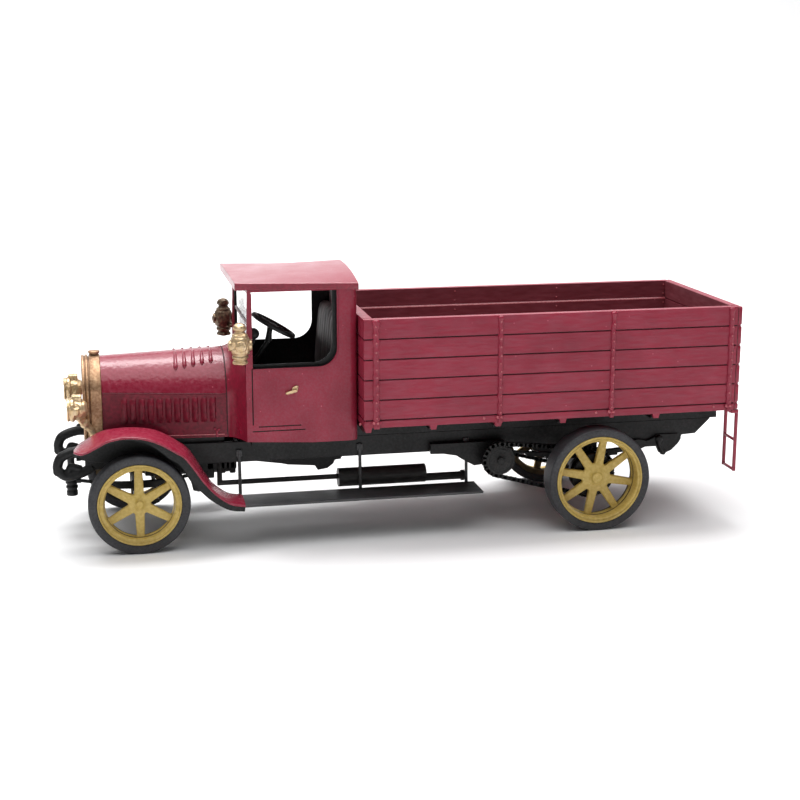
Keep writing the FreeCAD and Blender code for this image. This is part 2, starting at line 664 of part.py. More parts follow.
links = []
straight = int(NUMBERS["chain_run_count"])
for side in (TOP, LOW):
    for i in range(straight):
        part = (i + 0.5) / straight
        x = RX + RR * side[0] + (JX - RX + (FR - RR) * side[0]) * part
        z = RZ + RR * side[1] + (JZ - RZ + (FR - RR) * side[1]) * part
        links.append(link(x, z, side, RUN / straight))
tilt = math.asin(LEAN.n)
for x0, z0, radius, count, half, sign in (
        (JX, JZ, FR, int(NUMBERS["chain_front_count"]), math.pi / 2 - tilt, 1),
        (RX, RZ, RR, int(NUMBERS["chain_rear_count"]), math.pi / 2 + tilt, -1)):
    for i in range(count):
        turn = half * (2 * i + 1 - count) / count
        c, s = math.cos(turn) * sign, math.sin(turn) * sign
        out = (UX * c - UZ * s, UZ * c + UX * s)
        links.append(link(x0 + radius * out[0], z0 + radius * out[1], out, radius * (2 * half / count)))
band = cut(slab("side", CY, CW, loop(FR + CC, RR + CC)), slab("side", CY, CW, loop(FR - CH, RR - CH)))
pair("drive_chain", fuse(band, *links))

# radiator: shell with a sunk front, core behind the front ring, filler cap on top
QF = QX + S("radiator_depth")
QH = S("radiator_half")
QS = S("radiator_shoulder_z")
QC = S("radiator_crown_z")
QR = S("radiator_ring")
shell = slab("front", QX, QF - QX, arch(QH, RT, QS, QC))
pocket = slab("front", QX + 0.9, QF - QX, arch(QH - QR, RT + QR, QS - 0.1, QC - QR))
neck = wire(0.34, 0.5, (QX + QF) / 2 - 0.3, 0, QC - 0.2, "Z", 12)
lid = wire(0.48, 0.28, (QX + QF) / 2 - 0.3, 0, QC + 0.25, "Z", 12)
node("radiator_shell", fuse(cut(shell, pocket), neck, lid))
core = slab("front", QX + 0.9, 0.45, arch(QH - QR, RT + QR, QS - 0.1, QC - QR))
fins = []
fin_count = int(NUMBERS["radiator_fin_count"])
for i in range(fin_count):
    y = (QH - QR) * ((2 * i + 1 - fin_count) / fin_count)
    fins.append(box(QX + 1.3, QX + 1.55, y - 0.12, y + 0.12, RT + QR, QS))
node("radiator_core", fuse(core, *fins))

# bonnet: lofted from the radiator back to the cowl, with louvres in its sides and its top
rear_section = (S("bonnet_rear_half"), BZ, S("bonnet_rear_hinge_z"), S("bonnet_rear_crown_z"))
front_section = (S("bonnet_front_half"), BZ, S("bonnet_front_hinge_z"), S("bonnet_front_crown_z"))
BL = S("bonnet_length")
LP = S("louvre_pitch")
LTOP = S("louvre_top_z")


def bonnet_at(x, low, high):
    """A bonnet size at x, from its value at the rear and in front."""
    return low + (high - low) * ((x - BX) / BL)


louvres = []
for i in range(int(NUMBERS["side_louvre_count"])):
    x = BX + 1.35 + LP * i
    face = bonnet_at(x, rear_section[0], front_section[0])
    for sign in (1, -1):
        louvres.append(slab("plan", LTOP - S("louvre_height"), S("louvre_height"), [
            (x - 0.26, sign * (face - 0.15)), (x + 0.26, sign * (face - 0.15)), (x + 0.26, sign * face),
            (x - 0.2, sign * (face + 0.22))]))
for i in range(int(NUMBERS["top_louvre_count"])):
    x = BX + 1.35 + LP * i
    half = bonnet_at(x, rear_section[0], front_section[0])
    shoulder = bonnet_at(x, rear_section[2], front_section[2])
    crown = bonnet_at(x, rear_section[3], front_section[3])
    radius = arch_radius(half, crown - shoulder)
    middle = crown - radius
    low, high = radius - 0.3, radius + 0.13
    for sign in (1, -1):
        a, b = (0.74, 0.67), (0.45, 0.89)
        corners = [(sign * (a[0] * low), middle + a[1] * low), (sign * (a[0] * high), middle + a[1] * high),
                   (sign * (b[0] * high), middle + b[1] * high), (sign * (b[0] * low), middle + b[1] * low)]
        louvres.append(slab("front", x - 0.17, 0.34, corners))
rear_half, front_half = rear_section[0], front_section[0]
sides = common(slab("plan", BZ, rear_section[3] - BZ, [(BX, -rear_half), (QX, -front_half), (QX, front_half),
                                                       (BX, rear_half)]),
               slab("side", rear_half + 1, (rear_half + 1) * 2, [
                   (BX, BZ), (QX, BZ), (QX, front_section[2]), (BX, rear_section[2])]))
rear_radius = arch_radius(rear_half, rear_section[3] - rear_section[2])
front_radius = arch_radius(front_half, front_section[3] - front_section[2])
slope = ((front_section[3] - front_radius) - (rear_section[3] - rear_radius)) / BL
taper = (rear_radius - front_radius) / BL
top = doc.addObject("Part::Cone", fresh("cone"))
bind(top, "Radius1", rear_radius + taper)
bind(top, "Radius2", front_radius - taper)
bind(top, "Height", BL + 2)
place(top, BX - 1, 0, rear_section[3] - rear_radius - slope, FreeCAD.Rotation(VEC(0, 1, 0), 87))
top.setExpression("Placement.Rotation.Angle", "90 deg - atan(%s)" % slope.t)
window = slab("side", rear_half + 1, (rear_half + 1) * 2, [
    (BX, rear_section[2]), (QX, front_section[2]), (QX, front_section[3] + 1), (BX, rear_section[3] + 1)])
grooves = []
for sign in (1, -1):
    ends = []
    for x, half, z in ((BX, rear_half, rear_section[2]), (QX, front_half, front_section[2])):
        ends.append(outline("front", x, [(sign * (half - 0.08), z - 0.07), (sign * (half + 0.1), z - 0.07),
                                         (sign * (half + 0.1), z + 0.05), (sign * (half - 0.08), z + 0.05)]))
    grooves.append(loft(*ends))
node("bonnet", cut(fuse(sides, common(top, window), *louvres), *grooves))

# headlamps: drum, front ring, top vent and tapered bracket down to the frame
HX = FX + S("headlamp_lead")
HY = S("headlamp_y")
HZ = S("headlamp_z")
HR = S("headlamp_radius")
HL = S("headlamp_length")
drum = rod(HR * 0.9, HL * 0.8, HX - HL / 2, HY, HZ, "X")
ring = rod(HR, HL * 0.2, HX + HL * 0.3, HY, HZ, "X")
chimney = wire(HR * 0.55, HR * 0.5, HX - HL * 0.1, HY, HZ + HR * 0.8, "Z", 12)
stem = slab("front", HX - 0.3, 0.5, [
    (RO, RT - 0.9), (RO + 0.3, RT - 0.9), (HY + 0.4, HZ - HR * 0.8), (HY - 0.35, HZ - HR * 0.8)])
pair("headlamp", fuse(drum, ring, chimney, stem))

# cab: hollow body with windows, flared cowl in front
CHW = S("cab_half")
CB = S("cab_bottom_z")
CT = S("cab_top_z")
CWALL = S("cab_wall")
WR = CR + S("rear_panel")
WB = S("window_bottom_z")
WC = S("window_corner")
PL = S("pillar")
LT = S("lintel")
SB = S("screen_bottom_z")
KC = S("cab_corner")
outer = slab("plan", CB, CT - CB, [
    (CF, -CHW), (CF, CHW), (CR + KC, CHW, KC, 1), (CR, CHW - KC), (CR, KC - CHW, KC, 1), (CR + KC, -CHW)])
inner = box(CR + CWALL, CF - CWALL, CWALL - CHW, CHW - CWALL, CB, CT)
side_holes = slab("side", CHW, CHW * 2, [
    (WR + WC, WB), (CF - PL, WB), (CF - PL, CT - LT), (WR, CT - LT), (WR, WB + WC, WC, 1)])
screen_hole = box(CF - CWALL, CF, PL * 0.85 - CHW, CHW - PL * 0.85, SB, CT - LT)
rear_hole = box(CR, CR + CWALL, -S("rear_window_half"), S("rear_window_half"),
                S("rear_window_bottom_z"), S("rear_window_top_z"))
cowl_rear = (CHW, BZ, S("cowl_side_z"), S("cowl_crown_z"))
cowl = loft(outline("front", CF, arch(*cowl_rear)),
            outline("front", BX, arch(rear_section[0], BZ, rear_section[2], rear_section[3])))
wedge = slab("side", CHW, CHW * 2, [(CF, CB), (CF, BZ), (CF - 6.5, CB)])
shell = cut(outer, inner, side_holes, screen_hole, rear_hole, wedge)
DD = S("door_line_depth")
DWI = S("door_line_width")
DF = CF - S("door_setback")
DL = S("door_length")
DB = S("door_bottom_z")
handles = []
for sign in (1, -1):
    a, b = (CHW - DD, CHW) if sign > 0 else (-CHW, DD - CHW)
    shell = cut(shell, box(DF - DWI, DF, a, b, DB + 0.7, WB), box(DF - DL, DF, a, b, DB, DB + DWI),
                box(DF - DL + 0.4, DF - 0.6, a, b, DB + 0.45, DB + 0.45 + DWI))
    hx = DF - DL * 0.83
    c, d = (CHW - 0.1, CHW + 0.22) if sign > 0 else (-CHW - 0.22, 0.1 - CHW)
    handles.append(wire(0.26, 0.32, hx, c, S("handle_z"), "Y"))
    handles.append(slab("side", d, d - c - 0.12, [
        (hx - 0.15, S("handle_z") - 0.05), (hx + 0.95, S("handle_z") - 0.35), (hx + 1.0, S("handle_z") - 0.12),
        (hx - 0.05, S("handle_z") + 0.25)]) if sign > 0 else slab("side", c + 0.2, 0.2, [
            (hx - 0.15, S("handle_z") - 0.05), (hx + 0.95, S("handle_z") - 0.35),
            (hx + 1.0, S("handle_z") - 0.12), (hx - 0.05, S("handle_z") + 0.25)]))
node("cab_body", fuse(shell, cowl, *handles))
FT = S("floor_thickness")
node("cab_floor", box(CR + CWALL, CF - CWALL, CWALL - CHW, CHW - CWALL, RT, CB + FT))
SX = CR + S("seat_reach")
node("seat", slab("side", CHW - CWALL, CHW * 2 - CWALL * 2, [
    (CR + CWALL, CB + FT), (SX, CB + FT), (SX, S("seat_top_z")), (CR + CWALL + 2.2, S("seat_top_z") - 0.3),
    (CR + CWALL + 1.5, S("seat_back_z")), (CR + CWALL, S("seat_back_z"))]))
glass_y = CHW - PL * 0.85
GX = CF - CWALL
node("windscreen_glass", box(GX + 0.1, GX + 0.22, -glass_y, glass_y, SB, CT - LT))
bar = 0.28
pane = glass_y - bar
node("windscreen_frame", cut(box(GX + 0.22, CF, -glass_y, glass_y, SB, CT - LT),
                             box(GX, CF + 1, -pane, pane, SB + bar, S("screen_bar_z")),
                             box(GX, CF + 1, -pane, pane, S("screen_bar_z") + bar, CT - LT - bar)))

# steering wheel on a raked column that ends at the front wall
ST = S("steering_tilt")
SR = S("steering_radius")
SBK = S("steering_setback")
WX = CF - SBK
WZ = WB + S("steering_rise")
rim = cut(wire(SR + 0.15, 0.26, 0, 0, -0.13, "Z", 24), wire(SR - 0.15, 0.26, 0, 0, -0.13, "Z", 24))
column = wire(0.2, (SBK - CWALL) * 2 + 0.6, 0, 0, -((SBK - CWALL) * 2 + 0.6), "Z")
hub = wire(0.45, 0.4, 0, 0, -0.2, "Z")
arms = []
for i in range(2):
    arm = doc.addObject("Part::Box", fresh("box"))
    bind(arm, "Length", SR * 2)
    arm.Width = 0.24
    arm.Height = 0.16
    turn = FreeCAD.Rotation(VEC(0, 0, 1), 45 + 90 * i)
    corner = turn.multVec(VEC(-SR.n, -0.12, -0.08))
    arm.Placement = FreeCAD.Placement(corner, turn)
    share = -math.sqrt(0.5)
    bind(arm, "Placement.Base.x", SR * (share if i == 0 else -share) + (corner.x - SR.n * (share if i == 0 else -share)))
    bind(arm, "Placement.Base.y", SR * share + (corner.y - SR.n * share))
    arms.append(arm)
wheel_parts = fuse(rim, hub, column, *arms)
place(wheel_parts, WX, S("steering_y"), WZ, FreeCAD.Rotation(VEC(0, -1, 0), 30))
wheel_parts.setExpression("Placement.Rotation.Angle", "Sizes.steering_tilt")
drop = (SBK - CWALL) * 1.732
collar = wire(0.5, 0.5, CF - CWALL - 0.5, S("steering_y"), WZ - drop + 0.2, "X")
node("steering_wheel", fuse(cut(wheel_parts, box(CF - CWALL, CF + 2, 0, CHW, CB, CT)), collar))

# bulb horn on the dash
horn_y = CHW - CWALL - 1.7
bulb = wire(0.43, 0.4, GX - 0.7, horn_y, SB + 0.9, "Z", 12)
ends = wire(0.3, 0.76, GX - 0.7, horn_y, SB + 0.72, "Z", 12)
node("horn", fuse(bulb, ends, wire(0.13, 1.2, GX - 0.7, horn_y, SB - 0.4, "Z"),
                  box(GX - 0.9, GX, horn_y - 0.2, horn_y + 0.2, SB - 0.6, SB - 0.3)))

# roof: a slab with a flat middle and rounder sides
RFX = CF + S("roof_overhang")
RRX = CR - S("roof_rear_overhang")
RH = S("roof_half")
RE = S("roof_edge")
RC = S("roof_crown")
haunch = RH - S("roof_haunch")
node("roof", slab("front", RRX, RFX - RRX, [
    (-RH, CT), (RH, CT), (RH, CT + RE, RC * 7.6, 1), (haunch, CT + RE + RC * 0.72, arch_radius(haunch, RC * 0.28), 1),
    (-haunch, CT + RE + RC * 0.72, RC * 7.6, 1), (-RH, CT + RE)]))

# side lamps on the cab's front corners
LX = CF + S("side_lamp_lead")
LY = S("side_lamp_y")
LZ = S("side_lamp_z")
LR = S("side_lamp_radius")
tiers = []
for share, low, high in ((0.66, 0, 0.35), (0.52, 0.2, 0.9), (0.84, 0.75, 1.7), (1.0, 1.55, 2.1), (0.86, 2.0, 2.45),
                         (0.52, 2.3, 3.2), (0.62, 3.1, 3.6), (0.3, 3.5, 4.1)):
    tiers.append(wire(LR * share, high - low, LX, LY, LZ + low, "Z", 12))
arm = box(CF - 0.5, CF - 0.15, CHW, LY, LZ + 0.9, LZ + 1.2)
pair("side_lamp", fuse(arm, *tiers))

# front fenders: arched over the wheel, down behind it to the running board
FO = S("fender_outer_y")
FI = S("fender_inner_y")
TH = S("fender_thickness")
AR = S("fender_arch_radius")
AX = FX + 0.55
AZ = S("board_top_z") + 1.95
root3 = 0.8290376
FRN = S("fender_foot_radius")
BT = S("board_top_z")
BF = FX - S("board_setback")
start = (AX + AR * 0.42, AZ + AR * 0.9075242)
crest_in = (AX - AR * root3, AZ + AR * 0.5591929)
foot_x = BF + 1.0
foot_c = (foot_x, BT + FRN)
low = (foot_c[0] + FRN * root3, foot_c[1] - FRN * 0.5591929)
inner_arch = AR - TH
low_under = FRN + TH
fender = slab("side", FO, FO - FI, [
    (FX + 5.95, AZ + AR * 0.9075242 - 1.42),
    (start[0], start[1], AR, 1), (AX, AZ + AR, AR, 1), (crest_in[0], crest_in[1]),
    (low[0], low[1], FRN, -1), (foot_x, BT), (BF, BT), (BF, BT - S("board_thickness")),
    (foot_x, BT - TH, low_under, 1),
    (foot_c[0] + low_under * root3, foot_c[1] - low_under * 0.5591929),
    (AX - inner_arch * root3, AZ + inner_arch * 0.5591929, inner_arch, -1), (AX, AZ + inner_arch, inner_arch, -1),
    (AX + inner_arch * 0.42, AZ + inner_arch * 0.9075242),
    (FX + 5.85, AZ + AR * 0.9075242 - 1.42 - TH)])
pair("front_fender", fender)

# aprons inside the fenders, with brackets to the rails
AT = S("apron_t")
under_z = AZ + inner_arch * 0.9075242
apron = slab("side", FI, AT, [
    (FX + 5.75, AZ + AR * 0.9075242 - 1.38 - TH), (AX + inner_arch * 0.42, under_z, inner_arch, 1),
    (AX, AZ + inner_arch, inner_arch, 1), (AX - inner_arch * root3, AZ + inner_arch * 0.5591929),
    (foot_c[0] + low_under * root3 + 0.1, foot_c[1] - low_under * 0.5591929 + 0.1), (FX - 5.9, BT + 0.8),
    (FX - 5.35, BT + 0.95), (FX - 5.15, BT + 1.85), (FX - 4.25, RB + 0.1), (FX + 3.0, RB + 0.95),
    (FX + 4.4, RB + 1.15), (FX + 5.7, RT - 0.4)])
pair("fender_apron", fuse(apron, box(FX + 3.4, FX + 3.8, RO, FI - AT, RT - 0.9, RT - 0.5),
                          box(FX - 4.3, FX - 3.9, RO, FI - AT, RT - 1.4, RT - 1.0)))

# running board on the left, hung from the rail by thin struts
BI = S("board_inner_y")
BO = S("board_outer_y")
BR = RX + S("board_rear_gap")
SW = S("strut_width")
tread = box(BR, BF, BI, BO, BT - S("board_thickness"), BT)
struts = []
for x in (BF + 0.2, (BF + BR) / 2, BR + 1.0):
    struts.append(box(x - SW, x, RO, BI, BT - S("board_thickness"), RT - 0.8))
node("running_board_left", fuse(tread, *struts))

# exhaust along the left rail
MX = CR + S("muffler_lead")
ML = S("muffler_length")
MR = S("muffler_radius")
MY = S("muffler_y")
MZ = S("muffler_z")
PR = S("pipe_radius")
pipe_front = BX + 1.1
node("exhaust", fuse(rod(MR, ML, MX - ML, MY, MZ, "X"),
                     wire(PR, pipe_front - MX, MX, MY, MZ + 0.12, "X"),
                     wire(PR, RT - MZ - 1.7, pipe_front - PR, MY - 0.1, MZ + 0.1, "Z"),
                     wire(S("tailpipe_radius"), 4.2, MX - ML - 4.2, MY, MZ - 0.5, "X"),
                     wire(S("tailpipe_radius") * 1.35, 0.35, MX - ML - 4.2, MY, MZ - 0.5, "X")))

# load bed: floor, plank sides with stake irons, headboard and tailboard
EL = EX - ER
EH = S("bed_half")
ET = S("bed_top_z")
EF = S("floor_top_z")
EB = S("floor_bottom_z")
EW = S("board_t")
GD = S("groove")
GH = S("groove_half")
TS = S("tail_skin")
node("bed_floor", box(ER + EW, EX - EW, EW - EH, EH - EW, EB, EF))


def planks(inner_edge, outer_edge, foot, sign):
    """Corners of a wall of five planks with a groove at each seam, both sides."""
    corners = [(inner_edge, foot), (outer_edge, foot)]
    pitch = (ET - EF) / 5
    for i in range(5):
        seam = EF + pitch * i
        corners += [(outer_edge, seam - GH), (outer_edge - GD * sign, seam), (outer_edge, seam + GH)]
    corners += [(outer_edge, ET), (inner_edge, ET)]
    for i in range(4, 0, -1):
        seam = EF + pitch * i
        corners += [(inner_edge, seam + GH), (inner_edge + GD * sign, seam), (inner_edge, seam - GH)]
    return corners


BEARERS = (0.0026, 0.17, 0.339, 0.511, 0.764)
wall = slab("front", ER + TS, EX - ER - TS, planks(EH - EW, EH, EB, 1))
stakes = []
for x in (EX - 1.2, EX - EL * 0.35, EX - EL * 0.648, ER + 0.8):
    stakes.append(box(x - S("stake_width") / 2, x + S("stake_width") / 2, EH, EH + S("stake_t"), EB, ET - 0.15))
lugs = []
LUG = S("lug_drop")
for share in BEARERS:
    x = EX - EL * share
    lugs.append(box(x - 0.62, x, EH - 0.6, EH, EB - LUG, EB))
pair("bed_side", fuse(wall, *(stakes + lugs)))
node("headboard", slab("side", EH - EW, (EH - EW) * 2, planks(EX - EW, EX, EB, 1)))
tail_outer = slab("side", EH, EH * 2, planks(ER + TS, ER, EB, -1))
tail_inner = box(ER + TS - 0.2, ER + EW, EW - EH, EH - EW, EB, ET)
node("tailboard", fuse(tail_outer, tail_inner))

# bed frame: two long sills on the rails with bearers across them
BW = S("bearer_width")
BB = S("bearer_bottom_z")
pieces = [box(ER, EX, RI, RO, RT, BB), box(ER, EX, -RO, -RI, RT, BB)]
for share in BEARERS:
    x = EX - EL * share
    pieces.append(box(x - BW, x, 0.6 - EH, EH - 0.6, BB - 0.01, EB))
node("bed_frame", fuse(*pieces))

# ladder hanging under the bed's left rear corner
LI = S("ladder_inner_y")
LO = S("ladder_outer_y")
LW = S("ladder_rail")
LF = S("ladder_foot_z")
ladder_x = ER - 0.13
node("ladder", fuse(box(ladder_x, ladder_x + LW, LI, LI + LW, LF, EB),
                    box(ladder_x, ladder_x + LW, LO - LW, LO, LF, EB),
                    box(ladder_x, ER + 0.9, LI, LI + LW, EB - 0.3, EB),
                    box(ladder_x, ER + 0.9, LO - LW, LO, EB - 0.3, EB),
                    box(ladder_x, ladder_x + LW, LI, LO, LF + 0.2, LF + 0.45),
                    box(ladder_x, ladder_x + LW, LI, LO, LF + 3.2, LF + 3.45)))

# starting crank hanging in front of the radiator
crank_x = IX + 1.6
grips = []
for radius, low, high in ((0.48, 5.5, 0), (0.62, 5.7, 5.3), (0.56, 5.1, 4.9), (0.56, 4.7, 4.5)):
    grips.append(wire(radius, low - high, crank_x, 0, RT - 0.1 - low, "Z", 12))
node("starting_crank", fuse(wire(0.25, crank_x - IX + 0.2, IX + 0.15, 0, RT - 0.45, "X"), *grips))

doc.recompute()
os.makedirs("parts", exist_ok=True)
for obj in doc.Objects:
    state = [word for word in obj.State if word in ("Invalid", "Error")]
    if state:
        raise RuntimeError("%s (%s) is in state %s" % (obj.Name, obj.Label, state))
for name, obj in NODES:
    shape = obj.Shape
    if shape.isNull() or not shape.isValid() or not shape.Solids:
        raise RuntimeError("%s has no valid solid" % name)
    print("%-22s solids %d volume %.3f  x %.2f..%.2f  y %.2f..%.2f  z %.2f..%.2f" % (
        name, len(shape.Solids), shape.Volume, shape.BoundBox.XMin, shape.BoundBox.XMax,
        shape.BoundBox.YMin, shape.BoundBox.YMax, shape.BoundBox.ZMin, shape.BoundBox.ZMax))
    shape.exportStep("parts/%s.step" % name)
print("nodes", len(NODES))
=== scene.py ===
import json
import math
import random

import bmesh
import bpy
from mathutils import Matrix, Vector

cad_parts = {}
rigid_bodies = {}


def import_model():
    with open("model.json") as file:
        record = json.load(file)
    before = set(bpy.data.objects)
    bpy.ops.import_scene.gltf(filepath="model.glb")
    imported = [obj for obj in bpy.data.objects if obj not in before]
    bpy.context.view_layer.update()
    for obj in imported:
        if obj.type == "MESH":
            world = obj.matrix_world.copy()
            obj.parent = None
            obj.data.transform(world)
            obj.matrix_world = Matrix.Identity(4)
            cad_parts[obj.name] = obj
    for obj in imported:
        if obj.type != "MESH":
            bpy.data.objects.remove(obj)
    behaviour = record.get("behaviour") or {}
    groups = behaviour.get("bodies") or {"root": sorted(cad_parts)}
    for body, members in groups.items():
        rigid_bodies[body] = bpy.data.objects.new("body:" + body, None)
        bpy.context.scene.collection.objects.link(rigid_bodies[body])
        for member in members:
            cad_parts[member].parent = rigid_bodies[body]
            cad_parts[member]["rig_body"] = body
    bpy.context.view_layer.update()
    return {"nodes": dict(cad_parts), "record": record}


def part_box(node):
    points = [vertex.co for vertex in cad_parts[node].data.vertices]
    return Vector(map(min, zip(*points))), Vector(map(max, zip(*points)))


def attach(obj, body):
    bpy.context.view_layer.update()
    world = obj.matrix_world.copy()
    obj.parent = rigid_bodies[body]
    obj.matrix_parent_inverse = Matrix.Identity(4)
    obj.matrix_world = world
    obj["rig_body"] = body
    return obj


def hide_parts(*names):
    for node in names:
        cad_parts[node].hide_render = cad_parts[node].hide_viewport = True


bl_info = {
    "name": "Scale model lorry",
    "version": (1, 0, 0),
    "blender": (4, 5, 0),
    "location": "3D View > Sidebar > Lorry",
    "description": "Finishes a small hand-built model of a chain-driven lorry around its packed frame",
    "category": "Add Mesh",
}

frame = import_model()
NODES = frame["nodes"]
MM = 0.001
SIDES = (("left", 1), ("right", -1))


def size(words, value, low=0.0, high=100.0):
    """A length in millimetres that a user may change."""
    return bpy.props.FloatProperty(name=words, description=words + ", in millimetres", default=value, min=low,
                                   max=high)


def tint(words, value):
    """A colour that a user may change."""
    return bpy.props.FloatVectorProperty(name=words, description=words, subtype="COLOR", size=3, min=0, max=1,
                                         default=value)


def millimetres(node):
    """A frame node's lowest and highest corners in millimetres."""
    low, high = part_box(node)
    return Vector(low) / MM, Vector(high) / MM


class LorryPaint(bpy.types.PropertyGroup):
    red: tint("Crimson enamel", (0.345, 0.016, 0.046))
    red_light: tint("Crimson enamel on lit grain", (0.330, 0.040, 0.072))
    # colour of the painted shade in the crimson's hollows, and of its darker clouds
    red_deep: tint("Crimson enamel in its hollows", (0.110, 0.004, 0.014))
    black: tint("Black enamel", (0.0055, 0.0056, 0.0058))
    ochre: tint("Wheel enamel", (0.560, 0.390, 0.085))
    # colour of the painted shade in the wheel enamel's hollows, and of its darker clouds
    ochre_deep: tint("Wheel enamel in its hollows", (0.230, 0.140, 0.030))
    tyre: tint("Tyre rubber", (0.030, 0.030, 0.034))
    brass: tint("Brass", (0.780, 0.560, 0.300))
    brass_deep: tint("Brass in its hollows", (0.220, 0.120, 0.050))
    floor: tint("Floor", (0.860, 0.860, 0.865))


class LorrySizes(bpy.types.PropertyGroup):
    edge: size("Rounding of edges", 0.07, 0.0, 0.3)
    plank_edge: size("Rounding of plank edges", 0.045, 0.0, 0.3)
    seam: size("Gap between planks", 0.12, 0.0, 0.4)
    rivet: size("Rivet radius", 0.13, 0.02, 0.4)
    link: size("Spacing of the chain's links", 0.5, 0.3, 1.2)
    fender: size("Thickness of the fenders", 0.2, 0.1, 0.5)
    grain: size("Size of the paint's grain", 0.22, 0.05, 2.0)


def paint():
    return bpy.context.scene.lorry_paint


def sizes():
    return bpy.context.scene.lorry_sizes


# materials
class Tree:
    """One node tree, with short ways to add and join its nodes."""

    def __init__(self, tree):
        self.nodes, self.links = tree.nodes, tree.links

    def put(self, node, sockets):
        """Gives sockets of a node a constant or a link from another socket."""
        for key, value in sockets.items():
            if isinstance(value, bpy.types.NodeSocket):
                self.links.new(value, node.inputs[key])
            else:
                node.inputs[key].default_value = value

    def add(self, kind, sockets=None, **values):
        node = self.nodes.new(kind)
        for key, value in values.items():
            setattr(node, key, value)
        self.put(node, sockets or {})
        return node

    def noise(self, feature, detail=4.0, stretch=None):
        """Noise whose blobs are about feature millimetres across, longer along an axis where stretch says so."""
        place = self.add("ShaderNodeTexCoord").outputs["Object"]
        if stretch:
            place = self.add("ShaderNodeMapping", {"Vector": place, "Scale": stretch}).outputs["Vector"]
        return self.add("ShaderNodeTexNoise", {"Vector": place, "Scale": 1.0 / (feature * MM),
                                               "Detail": detail}).outputs["Fac"]

    def span(self, value, low, high, to_low=0.0, to_high=1.0):
        return self.add("ShaderNodeMapRange", {"Value": value, "From Min": low, "From Max": high,
                                               "To Min": to_low, "To Max": to_high}).outputs["Result"]

    def mix(self, factor, first, second):
        first, second = (c if isinstance(c, bpy.types.NodeSocket) else (*c, 1.0) for c in (first, second))
        return self.add("ShaderNodeMix", {"Factor": factor, 6: first, 7: second}, data_type="RGBA").outputs[2]


def new_material(name):
    material = bpy.data.materials.new(name)
    material.use_nodes = True
    tree = Tree(material.node_tree)
    return material, tree, tree.nodes["Principled BSDF"]


def enamel(name, base, light, deep, roughness=0.38, metallic=0.0, coat=0.0, grain=0.22, bump=0.03, specks=0.0,
           hollow=0.5, stretch=None, reach=0.5, spread=0.12, gloss=0.5, clouds=0.35):
    """Brushed enamel: grain and streaks, painted shade in its hollows (patina on brass), a few bright specks, uneven
    gloss.
    """
    material, tree, shader = new_material(name)
    fine = tree.noise(grain, 5.0, stretch)
    broad = tree.noise(grain * 14, 3.0)
    colour = tree.mix(tree.span(fine, 0.35, 0.7), base, light)
    colour = tree.mix(tree.span(broad, 0.35, 0.75, 0.0, clouds), colour, deep)
    # painted shade: the colour turns towards deep where ambient occlusion finds a hollow; on brass this darkening is
    # its patina
    occlusion = tree.add("ShaderNodeAmbientOcclusion", {"Distance": reach * MM}, samples=8, only_local=True)
    colour = tree.mix(tree.span(occlusion.outputs["AO"], 0.25, 0.95, hollow, 0.0), colour, deep)
    if specks:
        place = tree.add("ShaderNodeTexCoord").outputs["Object"]
        cells = tree.add("ShaderNodeTexVoronoi", {"Vector": place, "Scale": 1.0 / (SPECK_GAP * MM)}, feature="F1")
        dots = tree.span(cells.outputs["Distance"], 0.035, 0.06, specks, 0.0)
        colour = tree.mix(dots, colour, tuple(min(1.0, channel * 2.2 + 0.1) for channel in light))
    relief = tree.add("ShaderNodeBump", {"Strength": 0.55, "Distance": bump * MM, "Height": fine})
    tree.put(shader, {"Base Color": colour, "Metallic": metallic, "Specular IOR Level": gloss, "Coat Weight": coat,
                      "Roughness": tree.span(broad, 0.3, 0.7, roughness - spread / 2, roughness + spread / 2),
                      "Coat Roughness": 0.25, "Normal": relief.outputs["Normal"]})
    return material


def glass():
    material, tree, shader = new_material("clear_glass")
    haze = tree.noise(1.4, 3.0)
    tree.put(shader, {"Roughness": tree.span(haze, 0.3, 0.7, 0.04, 0.12), "Alpha": 0.42, "IOR": 1.45,
                      "Base Color": tree.mix(haze, (0.62, 0.68, 0.70), (0.74, 0.78, 0.79))})
    return material


# spacing of the paint's bright specks in millimetres
SPECK_GAP = 1.3
MATERIALS = {}


